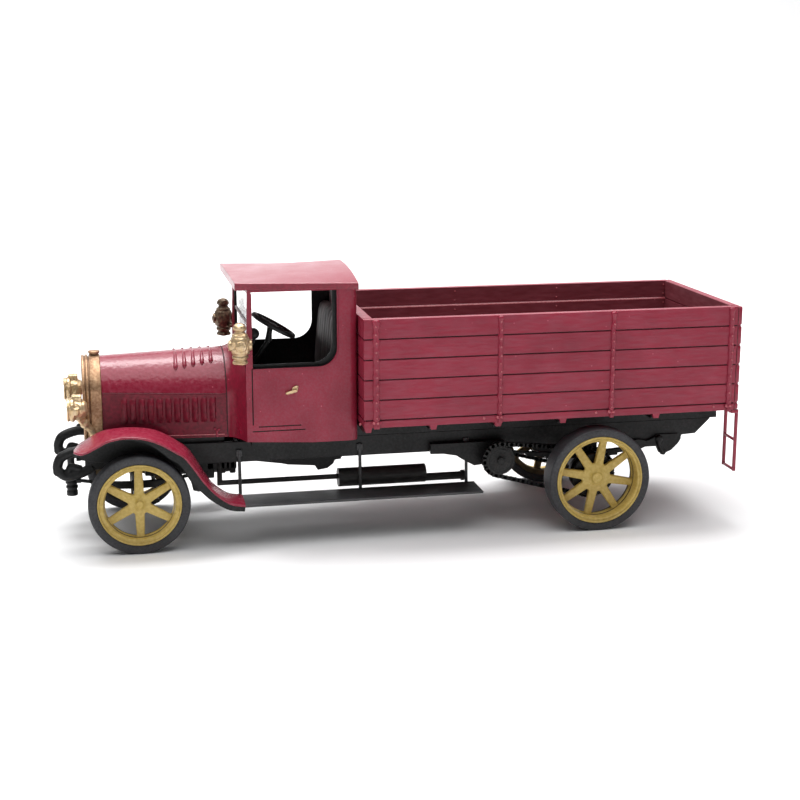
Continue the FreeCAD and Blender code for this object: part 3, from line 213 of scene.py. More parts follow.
def make_materials():
    p = paint()
    grain = sizes().grain
    red, light, deep, black = tuple(p.red), tuple(p.red_light), tuple(p.red_deep), tuple(p.black)

    def tone(colour, share):
        return tuple(channel * share for channel in colour)

    MATERIALS.update(
        red_paint=enamel("crimson_enamel", red, light, deep, 0.38, coat=0.1, grain=grain, bump=0.04, specks=0.6,
                         gloss=0.4),
        roof_paint=enamel("roof_enamel", red, light, deep, 0.36, coat=0.5, grain=grain * 0.8, bump=0.02,
                          specks=0.3, hollow=0.2, clouds=0.06),
        plank_paint=enamel("plank_enamel", red, light, deep, 0.40, coat=0.08, grain=grain * 1.2, bump=0.05,
                           specks=0.5, stretch=(0.16, 0.5, 1), gloss=0.4),
        gloss_paint=enamel("glossy_crimson_enamel", tone(red, 0.8), light, deep, 0.22, grain=grain * 1.8,
                           bump=0.07, specks=0.6, gloss=0.6, spread=0.06, clouds=0.2),
        # painted shade: a darker copy of the crimson for the bonnet's upright sides and side louvres, where the fenders
        # keep light from them
        side_paint=enamel("bonnet_side_enamel", tone(red, 0.42), tone(red, 0.8), deep, 0.4, grain=grain * 1.5,
                          bump=0.05, specks=0.5, gloss=0.35),
        # painted shade: a dark red for the faces inside the bed and for the forward faces of the pillars beside the
        # windscreen
        inner_paint=enamel("bed_inner_enamel", (0.200, 0.040, 0.054), (0.27, 0.075, 0.095), deep, 0.5,
                           grain=grain * 1.5, bump=0.04, stretch=(0.2, 0.2, 1), specks=0.5),
        seam_paint=enamel("seam_shadow", (0.030, 0.004, 0.007), deep, (0.01, 0.002, 0.003), 0.6, grain=grain),
        # painted highlight: a lighter crimson for beads, the ledge, rivet heads and bolts, where light catches them
        bead_paint=enamel("worn_edge_enamel", (0.46, 0.075, 0.10), (0.62, 0.20, 0.22), red, 0.34, coat=0.3,
                          grain=grain, bump=0.05, specks=0.9),
        # painted shade: a darker copy of the crimson for the cowl and for the roof's upright edges and underside
        cowl_paint=enamel("cowl_enamel", tone(red, 0.66), red, deep, 0.3, coat=0.1, grain=grain * 1.5, bump=0.05,
                          specks=0.5),
        bed_floor_paint=enamel("bed_floor_enamel", tone(red, 0.6), red, deep, 0.55, grain=grain * 1.5, bump=0.03,
                               stretch=(0.12, 1, 1)),
        # painted light: a pale grey on parts that are black, standing in for the bright rear window and for the
        # reflection across the windscreen
        lining_grey=enamel("pale_lining", (0.36, 0.32, 0.33), (0.56, 0.50, 0.52), (0.08, 0.07, 0.07), 0.6,
                           grain=0.5, bump=0.03, hollow=0.5, reach=0.5),
        black_paint=enamel("black_enamel", black, tone(black, 3.2), (0.003, 0.003, 0.003), 0.46, grain=grain,
                           bump=0.03, specks=0.12, gloss=0.32),
        board_paint=enamel("running_board_enamel", (0.040, 0.041, 0.043), (0.085, 0.086, 0.090), black, 0.42,
                           grain=grain * 1.2, bump=0.03, stretch=(0.08, 1, 1)),
        chain_steel=enamel("chain_metal", (0.010, 0.010, 0.010), (0.032, 0.031, 0.030), (0.003, 0.003, 0.003),
                           0.46, metallic=0.2, grain=0.2, bump=0.04, gloss=0.35),
        exhaust_metal=enamel("exhaust_enamel", (0.016, 0.015, 0.015), (0.045, 0.042, 0.04), (0.006, 0.005, 0.005),
                             0.5, grain=grain, bump=0.02, stretch=(0.2, 1, 1)),
        # painted shade: a darker copy of the brass for the far side lamp
        brass_dark=enamel("dark_brass", (0.120, 0.084, 0.060), (0.30, 0.21, 0.13), (0.025, 0.016, 0.011), 0.42,
                          metallic=0.75, grain=0.3, bump=0.05, hollow=0.9, reach=0.5, spread=0.2),
        brass=enamel("aged_brass", tuple(p.brass), (0.84, 0.66, 0.44), tuple(p.brass_deep), 0.4, metallic=0.7,
                     grain=0.3, bump=0.1, hollow=0.98, reach=0.45, spread=0.25, clouds=0.6),
        radiator_brass=enamel("radiator_brass", (0.40, 0.215, 0.115), (0.72, 0.47, 0.28), (0.09, 0.040, 0.020),
                              0.38, metallic=0.65, grain=0.22, bump=0.05, hollow=0.8, reach=0.4, spread=0.2,
                              clouds=0.6),
        radiator_core=enamel("radiator_core_metal", (0.12, 0.085, 0.045), (0.24, 0.17, 0.09), (0.03, 0.02, 0.012),
                             0.5, metallic=0.6, grain=0.15, bump=0.03),
        seat_leather=enamel("seat_leather", (0.040, 0.037, 0.037), (0.24, 0.22, 0.22), (0.006, 0.006, 0.006), 0.5,
                            grain=0.7, bump=0.12, stretch=(1, 1, 0.18)),
        glass=glass(),
        ochre_paint=enamel("ochre_enamel", tuple(p.ochre), (0.72, 0.54, 0.17), tuple(p.ochre_deep), 0.5,
                           grain=0.35, bump=0.05, specks=0.25, hollow=0.85, reach=0.55),
        ochre_shade=enamel("ochre_enamel_in_shade", (0.080, 0.052, 0.018), (0.14, 0.09, 0.03),
                           (0.018, 0.012, 0.005), 0.6, grain=0.35, bump=0.05, hollow=0.9, reach=0.8),
        tyre=enamel("tyre_rubber", tuple(p.tyre), (0.055, 0.055, 0.06), (0.018, 0.018, 0.02), 0.6, grain=0.2,
                    bump=0.02, hollow=0.3, specks=0.12),
    )
    slots = {row["node"]: row["material_slot"] for row in frame["record"]["subparts"]}
    for name, node in NODES.items():
        node.data.materials.clear()
        node.data.materials.append(MATERIALS[slots[name]])
        node["finish"] = slots[name]


# meshes, drawn in millimetres; each function adds to a mesh and gives it back
def block(bm, low, high, edge=0.0, segments=2):
    """A box with rounded edges."""
    made = bmesh.ops.create_cube(bm, size=1.0)
    low, high = Vector(low), Vector(high)
    for vert in made["verts"]:
        vert.co = Vector([low[k] + (vert.co[k] + 0.5) * (high[k] - low[k]) for k in range(3)])
    if edge:
        edges = list(dict.fromkeys(e for vert in made["verts"] for e in vert.link_edges))
        bmesh.ops.bevel(bm, geom=edges, offset=edge, segments=segments, affect="EDGES", profile=0.5)
    return bm


AXES = {"X": (Vector((1, 0, 0)), Vector((0, 1, 0)), Vector((0, 0, 1))),
        "Y": (Vector((0, 1, 0)), Vector((0, 0, 1)), Vector((1, 0, 0))),
        "Z": (Vector((0, 0, 1)), Vector((1, 0, 0)), Vector((0, 1, 0)))}


def around(turn, first, second):
    """The direction at an angle from a first direction towards a second one."""
    return first * math.cos(turn) + second * math.sin(turn)


def quarter(x, z, radius, steps):
    """A quarter circle in side view, from below its centre to behind it."""
    turns = [math.pi / 2 * k / steps for k in range(steps + 1)]
    return [(x - radius * math.sin(turn), z - radius * math.cos(turn)) for turn in turns]


def lathe(bm, profile, centre, axis, steps=48):
    """A closed shape turned about an axis; profile corners are (radius, place along the axis)."""
    along, across, over = AXES[axis]
    rings = []
    for radius, place in profile:
        here = Vector(centre) + along * place
        if radius < 1e-6:
            rings.append([bm.verts.new(here)])
        else:
            rings.append([bm.verts.new(here + around(2 * math.pi * i / steps, across, over) * radius)
                          for i in range(steps)])
    loop = rings if len(rings[0]) == 1 or len(rings[-1]) == 1 else rings + [rings[0]]
    faces = []
    for first, second in zip(loop, loop[1:]):
        for i in range(steps):
            j = (i + 1) % steps
            corners = []
            for vert in (first[i % len(first)], first[j % len(first)], second[j % len(second)],
                         second[i % len(second)]):
                if vert not in corners:
                    corners.append(vert)
            if len(corners) > 2:
                faces.append(bm.faces.new(corners))
    bmesh.ops.recalc_face_normals(bm, faces=faces)
    return bm


def rounded(corners, radius, steps):
    """The corners of a turned profile with each corner rounded."""
    out = []
    for i, corner in enumerate(corners):
        here = Vector(corner)
        before, after = Vector(corners[i - 1]), Vector(corners[(i + 1) % len(corners)])
        reach = min(radius, (before - here).length * 0.45, (after - here).length * 0.45)
        start = here + (before - here).normalized() * reach
        end = here + (after - here).normalized() * reach
        for k in range(steps + 1):
            t = k / steps
            out.append(tuple(start * (1 - t) ** 2 + here * (2 * t * (1 - t)) + end * t ** 2))
    return out


def beam(bm, start, end, width, height, edge, up=(0, 0, 1), taper=1.0):
    """A straight bar between two points, narrower at its end where taper says so."""
    start, end = Vector(start), Vector(end)
    along = (end - start).normalized()
    across = along.cross(Vector(up)).normalized()
    over = across.cross(along)
    corners = ((-1, -1), (1, -1), (1, 1), (-1, 1))
    verts = [bm.verts.new(point + across * (a * width * scale / 2) + over * (b * height * scale / 2))
             for point, scale in ((start, 1.0), (end, taper)) for a, b in corners]
    faces = [bm.faces.new([verts[k] for k in order]) for order in (
        (0, 1, 2, 3), (7, 6, 5, 4), (0, 4, 5, 1), (1, 5, 6, 2), (2, 6, 7, 3), (3, 7, 4, 0))]
    bmesh.ops.recalc_face_normals(bm, faces=faces)
    edges = list(dict.fromkeys(e for face in faces for e in face.edges))
    bmesh.ops.bevel(bm, geom=edges, offset=edge, segments=2, affect="EDGES", profile=0.5)
    return bm


def skin(bm, sections, closed=True, caps=True, loop=False):
    """Faces between rows of points; closed joins the ends of each row, loop the first row to the last."""
    rows = [[bm.verts.new(point) for point in row] for row in sections]
    pairs = list(zip(rows, rows[1:]))
    if loop:
        pairs.append((rows[-1], rows[0]))
    faces = []
    for first, second in pairs:
        count = len(first)
        for i in range(count if closed else count - 1):
            j = (i + 1) % count
            faces.append(bm.faces.new((first[i], first[j], second[j], second[i])))
    if caps and not loop:
        faces.append(bm.faces.new(rows[0][::-1]))
        faces.append(bm.faces.new(rows[-1]))
    bmesh.ops.recalc_face_normals(bm, faces=faces)
    return bm


def slab(bm, outline, y0, y1):
    """A flat outline in side view with a thickness across the lorry."""
    return skin(bm, [[(x, y, z) for x, z in outline] for y in (y0, y1)])


def spline(corners, steps):
    """A smooth path through corners."""
    points = [Vector(corner) for corner in corners]
    ends = [points[0] * 2 - points[1]] + points + [points[-1] * 2 - points[-2]]
    out = []
    for a, b, c, d in zip(ends, ends[1:], ends[2:], ends[3:]):
        for k in range(steps):
            t = k / steps
            out.append(0.5 * (2 * b + (c - a) * t + (2 * a - 5 * b + 4 * c - d) * t * t
                              + (3 * b - a - 3 * c + d) * t ** 3))
    return out + [points[-1]]


def tube(bm, path, radius, sides=12, flat=1.0):
    """A round bar along a path; radius is one number, or one for each point."""
    points = [Vector(point) for point in path]
    radii = list(radius) if isinstance(radius, (list, tuple)) else [radius] * len(points)
    radii += [radii[-1]] * (len(points) - len(radii))
    closed = (points[0] - points[-1]).length < 1e-6
    if closed:
        points.pop()
    count = len(points)
    rows = []
    side = None
    for i, point in enumerate(points):
        ahead = points[(i + 1) % count] if closed or i + 1 < count else point
        behind = points[i - 1] if closed or i else point
        along = (ahead - behind).normalized()
        side = (along.orthogonal() if side is None else side - along * side.dot(along)).normalized()
        over = along.cross(side) * flat
        rows.append([point + around(2 * math.pi * k / sides, side, over) * radii[i] for k in range(sides)])
    return skin(bm, rows, loop=closed)


def sided(bm, sign):
    """The same shape, moved to the other side of the lorry where sign is negative."""
    if sign < 0:
        bmesh.ops.scale(bm, vec=(1, -1, 1), verts=bm.verts)
        bmesh.ops.reverse_faces(bm, faces=bm.faces)
    return bm


def far_side(row):
    """A row of points on the other side of the lorry, in reverse order."""
    return [(x, -y, z) for x, y, z in reversed(row)]


def between(sign, near, far):
    """The lower and higher y of something between two distances from the middle, on one side."""
    return sorted((sign * near, sign * far))


# pieces
def placed(name, shape):
    """An object in the scene, of millimetre geometry or of finished data."""
    data = shape
    if isinstance(shape, bmesh.types.BMesh):
        bmesh.ops.scale(shape, vec=(MM, MM, MM), verts=shape.verts)
        data = bpy.data.meshes.new(name)
        shape.to_mesh(data)
        shape.free()
    obj = bpy.data.objects.new(name, data)
    bpy.context.scene.collection.objects.link(obj)
    return obj


def settle(obj, finish, replaced=(), angle=35.0, weighted=True, body="chassis"):
    """Gives a piece its finish and shading, and lets it ride on a body in place of frame nodes."""
    mesh = obj.data
    mesh.materials.clear()
    mesh.materials.append(MATERIALS[finish])
    mesh.polygons.foreach_set("use_smooth", [True] * len(mesh.polygons))
    mesh.set_sharp_from_angle(angle=math.radians(angle))
    if weighted:
        obj.modifiers.new("even_shading", "WEIGHTED_NORMAL").keep_sharp = True
    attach(obj, body)
    if replaced:
        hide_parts(*replaced)
    return obj


def piece(name, bm, finish, replaced=(), angle=35.0, **options):
    """Turns millimetre geometry into a finished piece."""
    return settle(placed(name, bm), finish, replaced, angle, **options)


def baked(name, work):
    """A plain mesh object of what an object's modifiers give; the object itself is removed."""
    depsgraph = bpy.context.evaluated_depsgraph_get()
    depsgraph.update()
    mesh = bpy.data.meshes.new_from_object(work.evaluated_get(depsgraph), depsgraph=depsgraph)
    bpy.data.objects.remove(work)
    mesh.name = name
    return placed(name, mesh)


def soften(node, edge, low=None, high=None):
    """A copy of a frame node with its sharp edges rounded, cut down to a box where one is given."""
    source = NODES[node]
    name = node + "_body"
    bm = bmesh.new()
    bm.from_mesh(source.data)
    bmesh.ops.remove_doubles(bm, verts=bm.verts, dist=2e-6)
    bmesh.ops.dissolve_limit(bm, angle_limit=math.radians(0.6), verts=bm.verts, edges=bm.edges)
    mesh = bpy.data.meshes.new(name)
    bm.to_mesh(mesh)
    bm.free()
    work = placed("work", mesh)
    cutter = None
    if low:
        cutter = placed("cutter", block(bmesh.new(), low, high))
        knife = work.modifiers.new("cut", "BOOLEAN")
        knife.operation = "INTERSECT"
        knife.solver = "EXACT"
        knife.object = cutter
    bevel = work.modifiers.new("edges", "BEVEL")
    bevel.width = edge * MM
    bevel.segments = 2
    bevel.limit_method = "ANGLE"
    bevel.angle_limit = math.radians(40.0)
    bevel.use_clamp_overlap = True
    result = baked(name, work)
    if cutter:
        bpy.data.objects.remove(cutter)
    return settle(result, source["finish"], [node], 50.0, body=source["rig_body"])


def cast(name, bm, finish, replaced=(), voxel=0.07, passes=4, keep=1.0, lumps=0.0, body="chassis"):
    """Melts overlapping forms into one soft casting, as cast and painted metal looks."""
    work = placed("work", bm)
    remesh = work.modifiers.new("melt", "REMESH")
    remesh.mode = "VOXEL"
    remesh.voxel_size = voxel * MM
    relax = work.modifiers.new("relax", "SMOOTH")
    relax.factor = 0.5
    relax.iterations = passes
    if lumps:
        pattern = bpy.data.textures.new("lumps", "CLOUDS")
        pattern.noise_scale = 0.55 * MM
        uneven = work.modifiers.new("lumps", "DISPLACE")
        uneven.texture = pattern
        uneven.strength = lumps * MM
    if keep < 1.0:
        work.modifiers.new("thin", "DECIMATE").ratio = keep
    return settle(baked(name, work), finish, replaced, 180.0, False, body)


def repaint(obj, finish, chosen):
    """A second finish on faces chosen by their centre in millimetres and their normal."""
    obj.data.materials.append(MATERIALS[finish])
    last = len(obj.data.materials) - 1
    for face in obj.data.polygons:
        if chosen(face.center / MM, face.normal):
            face.material_index = last


# repeated things, made by Geometry Nodes
def repeater(name, sockets, thing):
    """A tree that puts what thing gives on every point of a mesh."""
    group = bpy.data.node_groups.new(name, "GeometryNodeTree")
    for words, kind in (("Geometry", "NodeSocketGeometry"), *sockets, ("Finish", "NodeSocketMaterial")):
        group.interface.new_socket(words, in_out="INPUT", socket_type=kind)
    group.interface.new_socket("Geometry", in_out="OUTPUT", socket_type="NodeSocketGeometry")
    tree = Tree(group)
    entry = tree.add("NodeGroupInput").outputs
    instance = thing(tree, entry)
    points = tree.add("GeometryNodeMeshToPoints", {"Mesh": entry["Geometry"]}).outputs["Points"]
    spread = tree.add("GeometryNodeInstanceOnPoints", {"Points": points, **instance}).outputs["Instances"]
    real = tree.add("GeometryNodeRealizeInstances", {"Geometry": spread}).outputs["Geometry"]
    coat = tree.add("GeometryNodeSetMaterial", {"Geometry": real, "Material": entry["Finish"]}).outputs["Geometry"]
    tree.add("NodeGroupOutput", {"Geometry": coat})
    return group


def dome(tree, entry):
    """The domed head of a rivet."""
    ball = tree.add("GeometryNodeMeshUVSphere", {"Segments": 10, "Rings": 6, "Radius": entry["Radius"]})
    smooth = tree.add("GeometryNodeSetShadeSmooth", {"Geometry": ball.outputs["Mesh"]})
    return {"Instance": smooth.outputs["Geometry"]}


def repeated(tree, entry):
    """Another object's shape, turned as each point says."""
    turn = tree.add("GeometryNodeInputNamedAttribute", {"Name": "turn"}, data_type="FLOAT_VECTOR")
    info = tree.add("GeometryNodeObjectInfo", {"Object": entry["Piece"]})
    return {"Instance": info.outputs["Geometry"], "Rotation": turn.outputs["Attribute"]}


TREES = {}


def grow(name, kind, points, finish, turns=None, replaced=(), angle=50.0, **values):
    """Runs a Geometry Nodes tree over points in millimetres and keeps its result as a plain mesh."""
    if not TREES:
        TREES["rivets"] = repeater("rivet_heads", [("Radius", "NodeSocketFloat")], dome)
        TREES["along"] = repeater("repeated_piece", [("Piece", "NodeSocketObject")], repeated)
    mesh = bpy.data.meshes.new(name)
    mesh.from_pydata([Vector(p) * MM for p in points], [], [])
    if turns:
        layer = mesh.attributes.new("turn", "FLOAT_VECTOR", "POINT")
        for item, turn in zip(layer.data, turns):
            item.vector = turn
    work = placed("work", mesh)
    modifier = work.modifiers.new(kind, "NODES")
    modifier.node_group = TREES[kind]
    values["Finish"] = MATERIALS[finish]
    for item in TREES[kind].interface.items_tree:
        if item.in_out == "INPUT" and item.name in values:
            modifier[item.identifier] = values[item.name]
    return settle(baked(name, work), finish, replaced, angle, weighted=False)


def stock(bm, name="pattern"):
    """A smooth plain object, such as the pattern of repeated ones, which is removed once they are made."""
    obj = placed(name, bm)
    obj.data.polygons.foreach_set("use_smooth", [True] * len(obj.data.polygons))
    return obj


def shade(obj, sign, limit):
    """Painted shade: dark ochre on the faces of a wheel that look inwards or lie behind its spokes."""
    repaint(obj, "ochre_shade", lambda centre, normal: normal.y * sign < -0.3 or centre.y * sign < limit)


# wheels
WHEELS = {
    "front": dict(spokes=6, start=math.pi / 2, depth=1.5, felloe=0.58, hub=0.95, cap=0.42, bore=0.45, sunk=0.22),
    "rear": dict(spokes=8, start=math.pi / 16, depth=2.2, felloe=0.46, hub=1.3, cap=0.6, bore=0.6, sunk=0.8,
                 flange=2.2),
}
# distances behind the hub cap's face: the spokes' plane, and where painted shade begins on the rim and on the casting
SPOKE_PLANE, RIM_DIRT, CASTING_DIRT = 0.42, 0.35, 1.0


class LORRY_OT_wheels(bpy.types.Operator):
    """Make the four cast wheels and their tyres"""
    bl_idname = "lorry.wheels"
    bl_label = "Wheels and tyres"

    def execute(self, context):
        for end, rule in WHEELS.items():
            low, high = millimetres(end + "_tyre_left")
            rim_low, rim_high = millimetres(end + "_rim_left")
            centre = (low + high) / 2
            centre.y = 0
            outer = (high.z - low.z) / 2
            seat = (rim_high.z - rim_low.z) / 2
            face, inside = high.y, low.y
            last = face - rule["sunk"]
            plane = last - SPOKE_PLANE
            for side, sign in SIDES:
                names = (end, side)
                body = "wheel_%s_%s" % names
                bm = lathe(bmesh.new(), rounded([(seat - 0.05, inside + 0.02), (outer, inside), (outer, face),
                                                 (seat + 0.3, face - 0.04), (seat - 0.05, face - 0.1)], 0.3, 4),
                           centre, "Y", 128)
                piece("%s_tyre_%s_rubber" % names, sided(bm, sign), "tyre", ["%s_tyre_%s" % names], body=body)
                bm = self.rim(rule, centre, seat, face)
                rim = piece("%s_wheel_%s_rim" % names, sided(bm, sign), "ochre_paint", body=body)
                shade(rim, sign, last - RIM_DIRT)
                if "flange" in rule:
                    root, edge = rule["hub"] * 0.9, rule["flange"]
                    bm = lathe(bmesh.new(), [(root, plane - 1.1), (edge, plane - 1.1), (edge + 0.06, plane - 1.0),
                                             (edge, plane - 0.86), (root, plane - 0.8)], centre, "Y", 64)
                    piece("rear_sprocket_disc_" + side, sided(bm, sign), "chain_steel", body=body)
                bm = self.casting(rule, centre, seat, inside, last, plane)
                casting = cast("%s_wheel_%s_casting" % names, sided(bm, sign), "ochre_paint", ["%s_rim_%s" % names],
                               0.055, 5, keep=0.6, body=body)
                shade(casting, sign, last - CASTING_DIRT)
        return {"FINISHED"}

    def rim(self, rule, centre, seat, face):
        depth, inner = rule["depth"], seat - rule["felloe"]
        steps = [(seat, -depth), (seat, -0.07), (seat - 0.04, -0.01), (seat - 0.12, -0.01), (seat - 0.17, -0.06),
                 (seat - 0.2, -0.13), (seat - 0.25, -0.13), (inner + 0.08, -0.1), (inner, -0.17), (inner - 0.03, -0.3),
                 (inner - 0.07, -rule["sunk"] - 0.35), (inner - 0.14, -depth + 0.12), (inner - 0.08, -depth)]
        return lathe(bmesh.new(), [(radius, face + place) for radius, place in steps], centre, "Y", 128)

    def casting(self, rule, centre, seat, inside, last, plane):
        """The felloe's web, the spokes and the hub with its cap."""
        felloe, hub, bore, cap = rule["felloe"], rule["hub"], rule["bore"], rule["cap"]
        inner = seat - felloe
        bm = lathe(bmesh.new(), [(inner - 0.2, plane - 0.5), (inner + 0.2, plane - 0.56), (inner + 0.2, plane - 0.04),
                                 (inner - 0.08, plane - 0.1)], centre, "Y", 96)
        for i in range(rule["spokes"]):
            turn = rule["start"] + 2 * math.pi * i / rule["spokes"]
            out = Vector((math.cos(turn), 0, math.sin(turn)))
            root = centre + out * (hub * 0.4) + Vector((0, plane - 0.26, 0))
            tip = centre + out * (seat - felloe * 0.6) + Vector((0, plane - 0.3, 0))
            beam(bm, root, tip, 0.98, 0.6, 0.1, (0, 1, 0), 0.74)
        return lathe(bm, [(bore, inside + 0.05), (hub, inside + 0.05), (hub, plane - 0.3), (hub * 1.2, plane - 0.14),
                          (hub * 1.12, plane + 0.02), (cap * 1.5, plane + 0.08), (cap, last - 0.2),
                          (cap * 0.9, last - 0.03), (cap * 0.55, last), (0, last), (0, last - 0.32),
                          (bore, last - 0.32)], centre, "Y", 48)


# load bed: widths of the stakes from front to rear; the middle stakes and the bearers stand at shares of its length
STAKE_WIDTHS = (0.62, 0.46, 0.46, 0.52)
MIDDLE_STAKES = (0.35, 0.648)
BEARERS = (0.0026, 0.17, 0.339, 0.511, 0.764)
PLANKS = 5
FLOOR_BOARDS = 9


class LORRY_OT_bed(bpy.types.Operator):
    """Make the load bed of planks, stake irons and rivets"""
    bl_idname = "lorry.bed"
    bl_label = "Load bed"

    def execute(self, context):
        floor_low, floor_high = millimetres("bed_floor")
        side_low, side_high = millimetres("bed_side_left")
        tail_low, tail_high = millimetres("tailboard")
        head_low, head_high = millimetres("headboard")
        self.top, self.deck, self.foot, self.proud = side_high.z, floor_high.z, floor_low.z, side_high.y
        self.pitch = (self.top - self.deck) / PLANKS
        top, deck, foot, pitch = self.top, self.deck, self.foot, self.pitch
        courses = [(foot, deck)] + [(deck + pitch * i, deck + pitch * (i + 1)) for i in range(PLANKS)]
        edge, gap = sizes().plank_edge, sizes().seam / 2
        front, skin_x = side_high.x, side_low.x
        length = front - tail_low.x
        self.outer = outer = tail_high.y
        self.inner = inner = outer - 1.0
        places = [front - 1.2, *(front - length * share for share in MIDDLE_STAKES), tail_low.x + 1.15]
        self.stakes = list(zip(places, STAKE_WIDTHS))
        for side, sign in SIDES:
            bm = block(bmesh.new(), (skin_x, inner + 0.05, foot), (front, outer + 0.03, deck - gap), edge)
            for low, high in courses[1:]:
                lift = 0.12 if high < courses[-1][1] else 0.0
                block(bm, (skin_x, inner + 0.13 - lift, low + gap), (front, outer, high - gap), edge)
            planks = piece("bed_side_%s_planks" % side, sided(bm, sign), "plank_paint", ["bed_side_" + side])
            # painted shade on the inward faces of the bed's side
            repaint(planks, "inner_paint", lambda centre, normal: normal.y * sign < -0.5)
            bm = block(bmesh.new(), (skin_x + 0.02, inner + 0.18, foot + 0.05),
                       (front - 0.02, outer - 0.12, top - 0.12))
            piece("bed_side_%s_seams" % side, sided(bm, sign), "seam_paint")
            ledge = deck + pitch * 4
            outline = ((inner + 0.2, ledge + 0.1), (inner + 0.14, ledge + 0.1), (inner + 0.01, ledge - 0.04),
                       (inner + 0.01, ledge - 0.1), (inner + 0.2, ledge - 0.1))
            bm = skin(bmesh.new(), [[(x, y, z) for y, z in outline] for x in (skin_x, front - 0.05)])
            # the ledge gets the painted-highlight crimson
            piece("bed_side_%s_ledge" % side, sided(bm, sign), "bead_paint")
            bm = bmesh.new()
            for x, width in self.stakes:
                self.iron(bm, x, width / 2)
            for share in BEARERS:
                self.lug(bm, front - length * share - 0.31, outer - 0.5, outer + 0.02)
            piece("stake_irons_" + side, sided(bm, sign), "red_paint", angle=80.0)
            self.rivets(side, sign)
        bm = block(bmesh.new(), (head_low.x + 0.12, head_low.y, head_low.z + 0.05),
                   (head_high.x - 0.12, head_high.y, head_high.z - 0.1))
        for low, high in courses:
            block(bm, (head_low.x, head_low.y, low + gap), (head_high.x, head_high.y, high - gap), edge)
        planks = piece("headboard_planks", bm, "plank_paint", ["headboard"])
        # painted shade on the headboard's face inside the bed
        repaint(planks, "inner_paint", lambda centre, normal: normal.x < -0.5)
        bm = block(bmesh.new(), (tail_low.x + 0.1, tail_low.y + 0.12, foot + 0.05),
                   (skin_x - 0.02, tail_high.y - 0.12, top - 0.1))
        for low, high in courses:
            block(bm, (tail_low.x, tail_low.y, low + gap), (skin_x - 0.03, tail_high.y, high - gap), 0.16, 3)
            block(bm, (skin_x - 0.02, 0.02 - inner, low + gap), (tail_high.x, inner - 0.02, high - gap), edge)
        block(bm, (skin_x - 0.02, 0.05 - inner, foot + 0.02), (tail_high.x - 0.1, inner - 0.05, top - 0.05))
        planks = piece("tailboard_planks", bm, "plank_paint", ["tailboard"])
        # painted shade on the tailboard's face inside the bed
        repaint(planks, "inner_paint", lambda centre, normal: normal.x > 0.5)
        bm = bmesh.new()
        wide = (floor_high.y - floor_low.y) / FLOOR_BOARDS
        for i in range(FLOOR_BOARDS):
            y = floor_low.y + wide * i
            block(bm, (floor_low.x, y + 0.02, floor_low.z), (floor_high.x, y + wide - 0.02, floor_high.z), 0.04)
        block(bm, floor_low + Vector((0, 0, 0.02)), floor_high - Vector((0, 0, 0.1)))
        piece("bed_floor_boards", bm, "bed_floor_paint", ["bed_floor"])
        return {"FINISHED"}

    def iron(self, bm, x, half, steps=8, levels=34):
        """A half-round stake iron with a knob at its top and a bolted foot."""
        top, deck, outer, proud = self.top, self.deck, self.outer, self.proud
        dice = random.Random(int(abs(x) * 10))
        body = [(deck - 0.1 + (top - 0.4 - deck) * k / levels, 1.0 + 0.13 * math.sin(k * 2.1) + dice.uniform(-0.1, 0.1),
                 dice.uniform(-0.03, 0.03)) for k in range(levels + 1)]
        knob = [(top - 0.42, 1.15, 0), (top - 0.3, 1.3, 0), (top - 0.17, 1.15, 0), (top - 0.1, 0.7, 0)]
        rows = []
        for z, swell, sway in body + knob:
            arc = [(x + sway + half * swell * math.cos(turn),
                    outer + (proud - outer - 0.04) * min(1.12, swell) * math.sin(turn) ** 0.7, z)
                   for turn in [math.pi * k / steps for k in range(steps + 1)]]
            rows.append([(x + sway + half * swell, outer - 0.1, z), *arc, (x + sway - half * swell, outer - 0.1, z)])
        skin(bm, rows)
        block(bm, (x - half - 0.16, outer - 0.1, deck - 0.42), (x + half + 0.16, proud - 0.02, deck - 0.06), 0.06)
        block(bm, (x - half - 0.02, outer - 0.1, self.foot - 0.1), (x + half - 0.06, proud - 0.1, deck - 0.3), 0.06)

    def lug(self, bm, x, inside, outside):
        """A tapered lug under the side, where a cross bearer ends."""
        skin(bm, [[(x - half, inside, z), (x + half, inside, z), (x + half, outside, z), (x - half, outside, z)]
                  for z, half in ((self.foot + 0.15, 0.42), (self.foot - 0.02, 0.36), (self.foot - 0.4, 0.27),
                                  (self.foot - 0.44, 0.24))])

    def rivets(self, side, sign):
        """Rows of rivets down each stake, outside and inside, and the bolts of its foot."""
        proud, deck = self.proud, self.deck
        heads, bolts = [], []
        dice = random.Random(7)
        for x, _ in self.stakes:
            z = deck + 0.25
            while z < self.top - 0.5:
                heads.append((x + dice.uniform(-0.08, 0.08), sign * (proud - 0.03), z))
                z += self.pitch * 0.42 + dice.uniform(-0.08, 0.08)
            for i in range(PLANKS):
                y = self.inner + (0.02 if i < PLANKS - 1 else 0.13)
                heads += [(x, sign * y, deck + self.pitch * (i + share)) for share in (0.25, 0.75)]
            bolts += [(x - 0.12, sign * (proud - 0.02), deck - 0.24), (x + 0.3, sign * (proud - 0.04), deck - 0.2),
                      (x + 1.6, sign * (self.outer + 0.03), deck - 0.3)]
        radius = sizes().rivet * MM
        # rivet heads and bolts get the painted-highlight crimson
        grow("stake_rivets_" + side, "rivets", heads, "bead_paint", Radius=radius * 0.72)
        grow("foot_bolts_" + side, "rivets", bolts, "bead_paint", Radius=radius)


# bonnet and cowl: half width, hinge height and crown height at the rear and in front
BONNET_REAR = (4.6, 14.8, 18.65)
BONNET_FRONT = (3.6, 15.2, 18.2)
CAB_FACE = (7.2, 17.3, 19.6)
LOUVRE_PITCH = 0.872
SIDE_LOUVRES, TOP_LOUVRES = 11, 5


def arch_radius(half, rise):
    return (half * half + rise * rise) / (2 * rise)


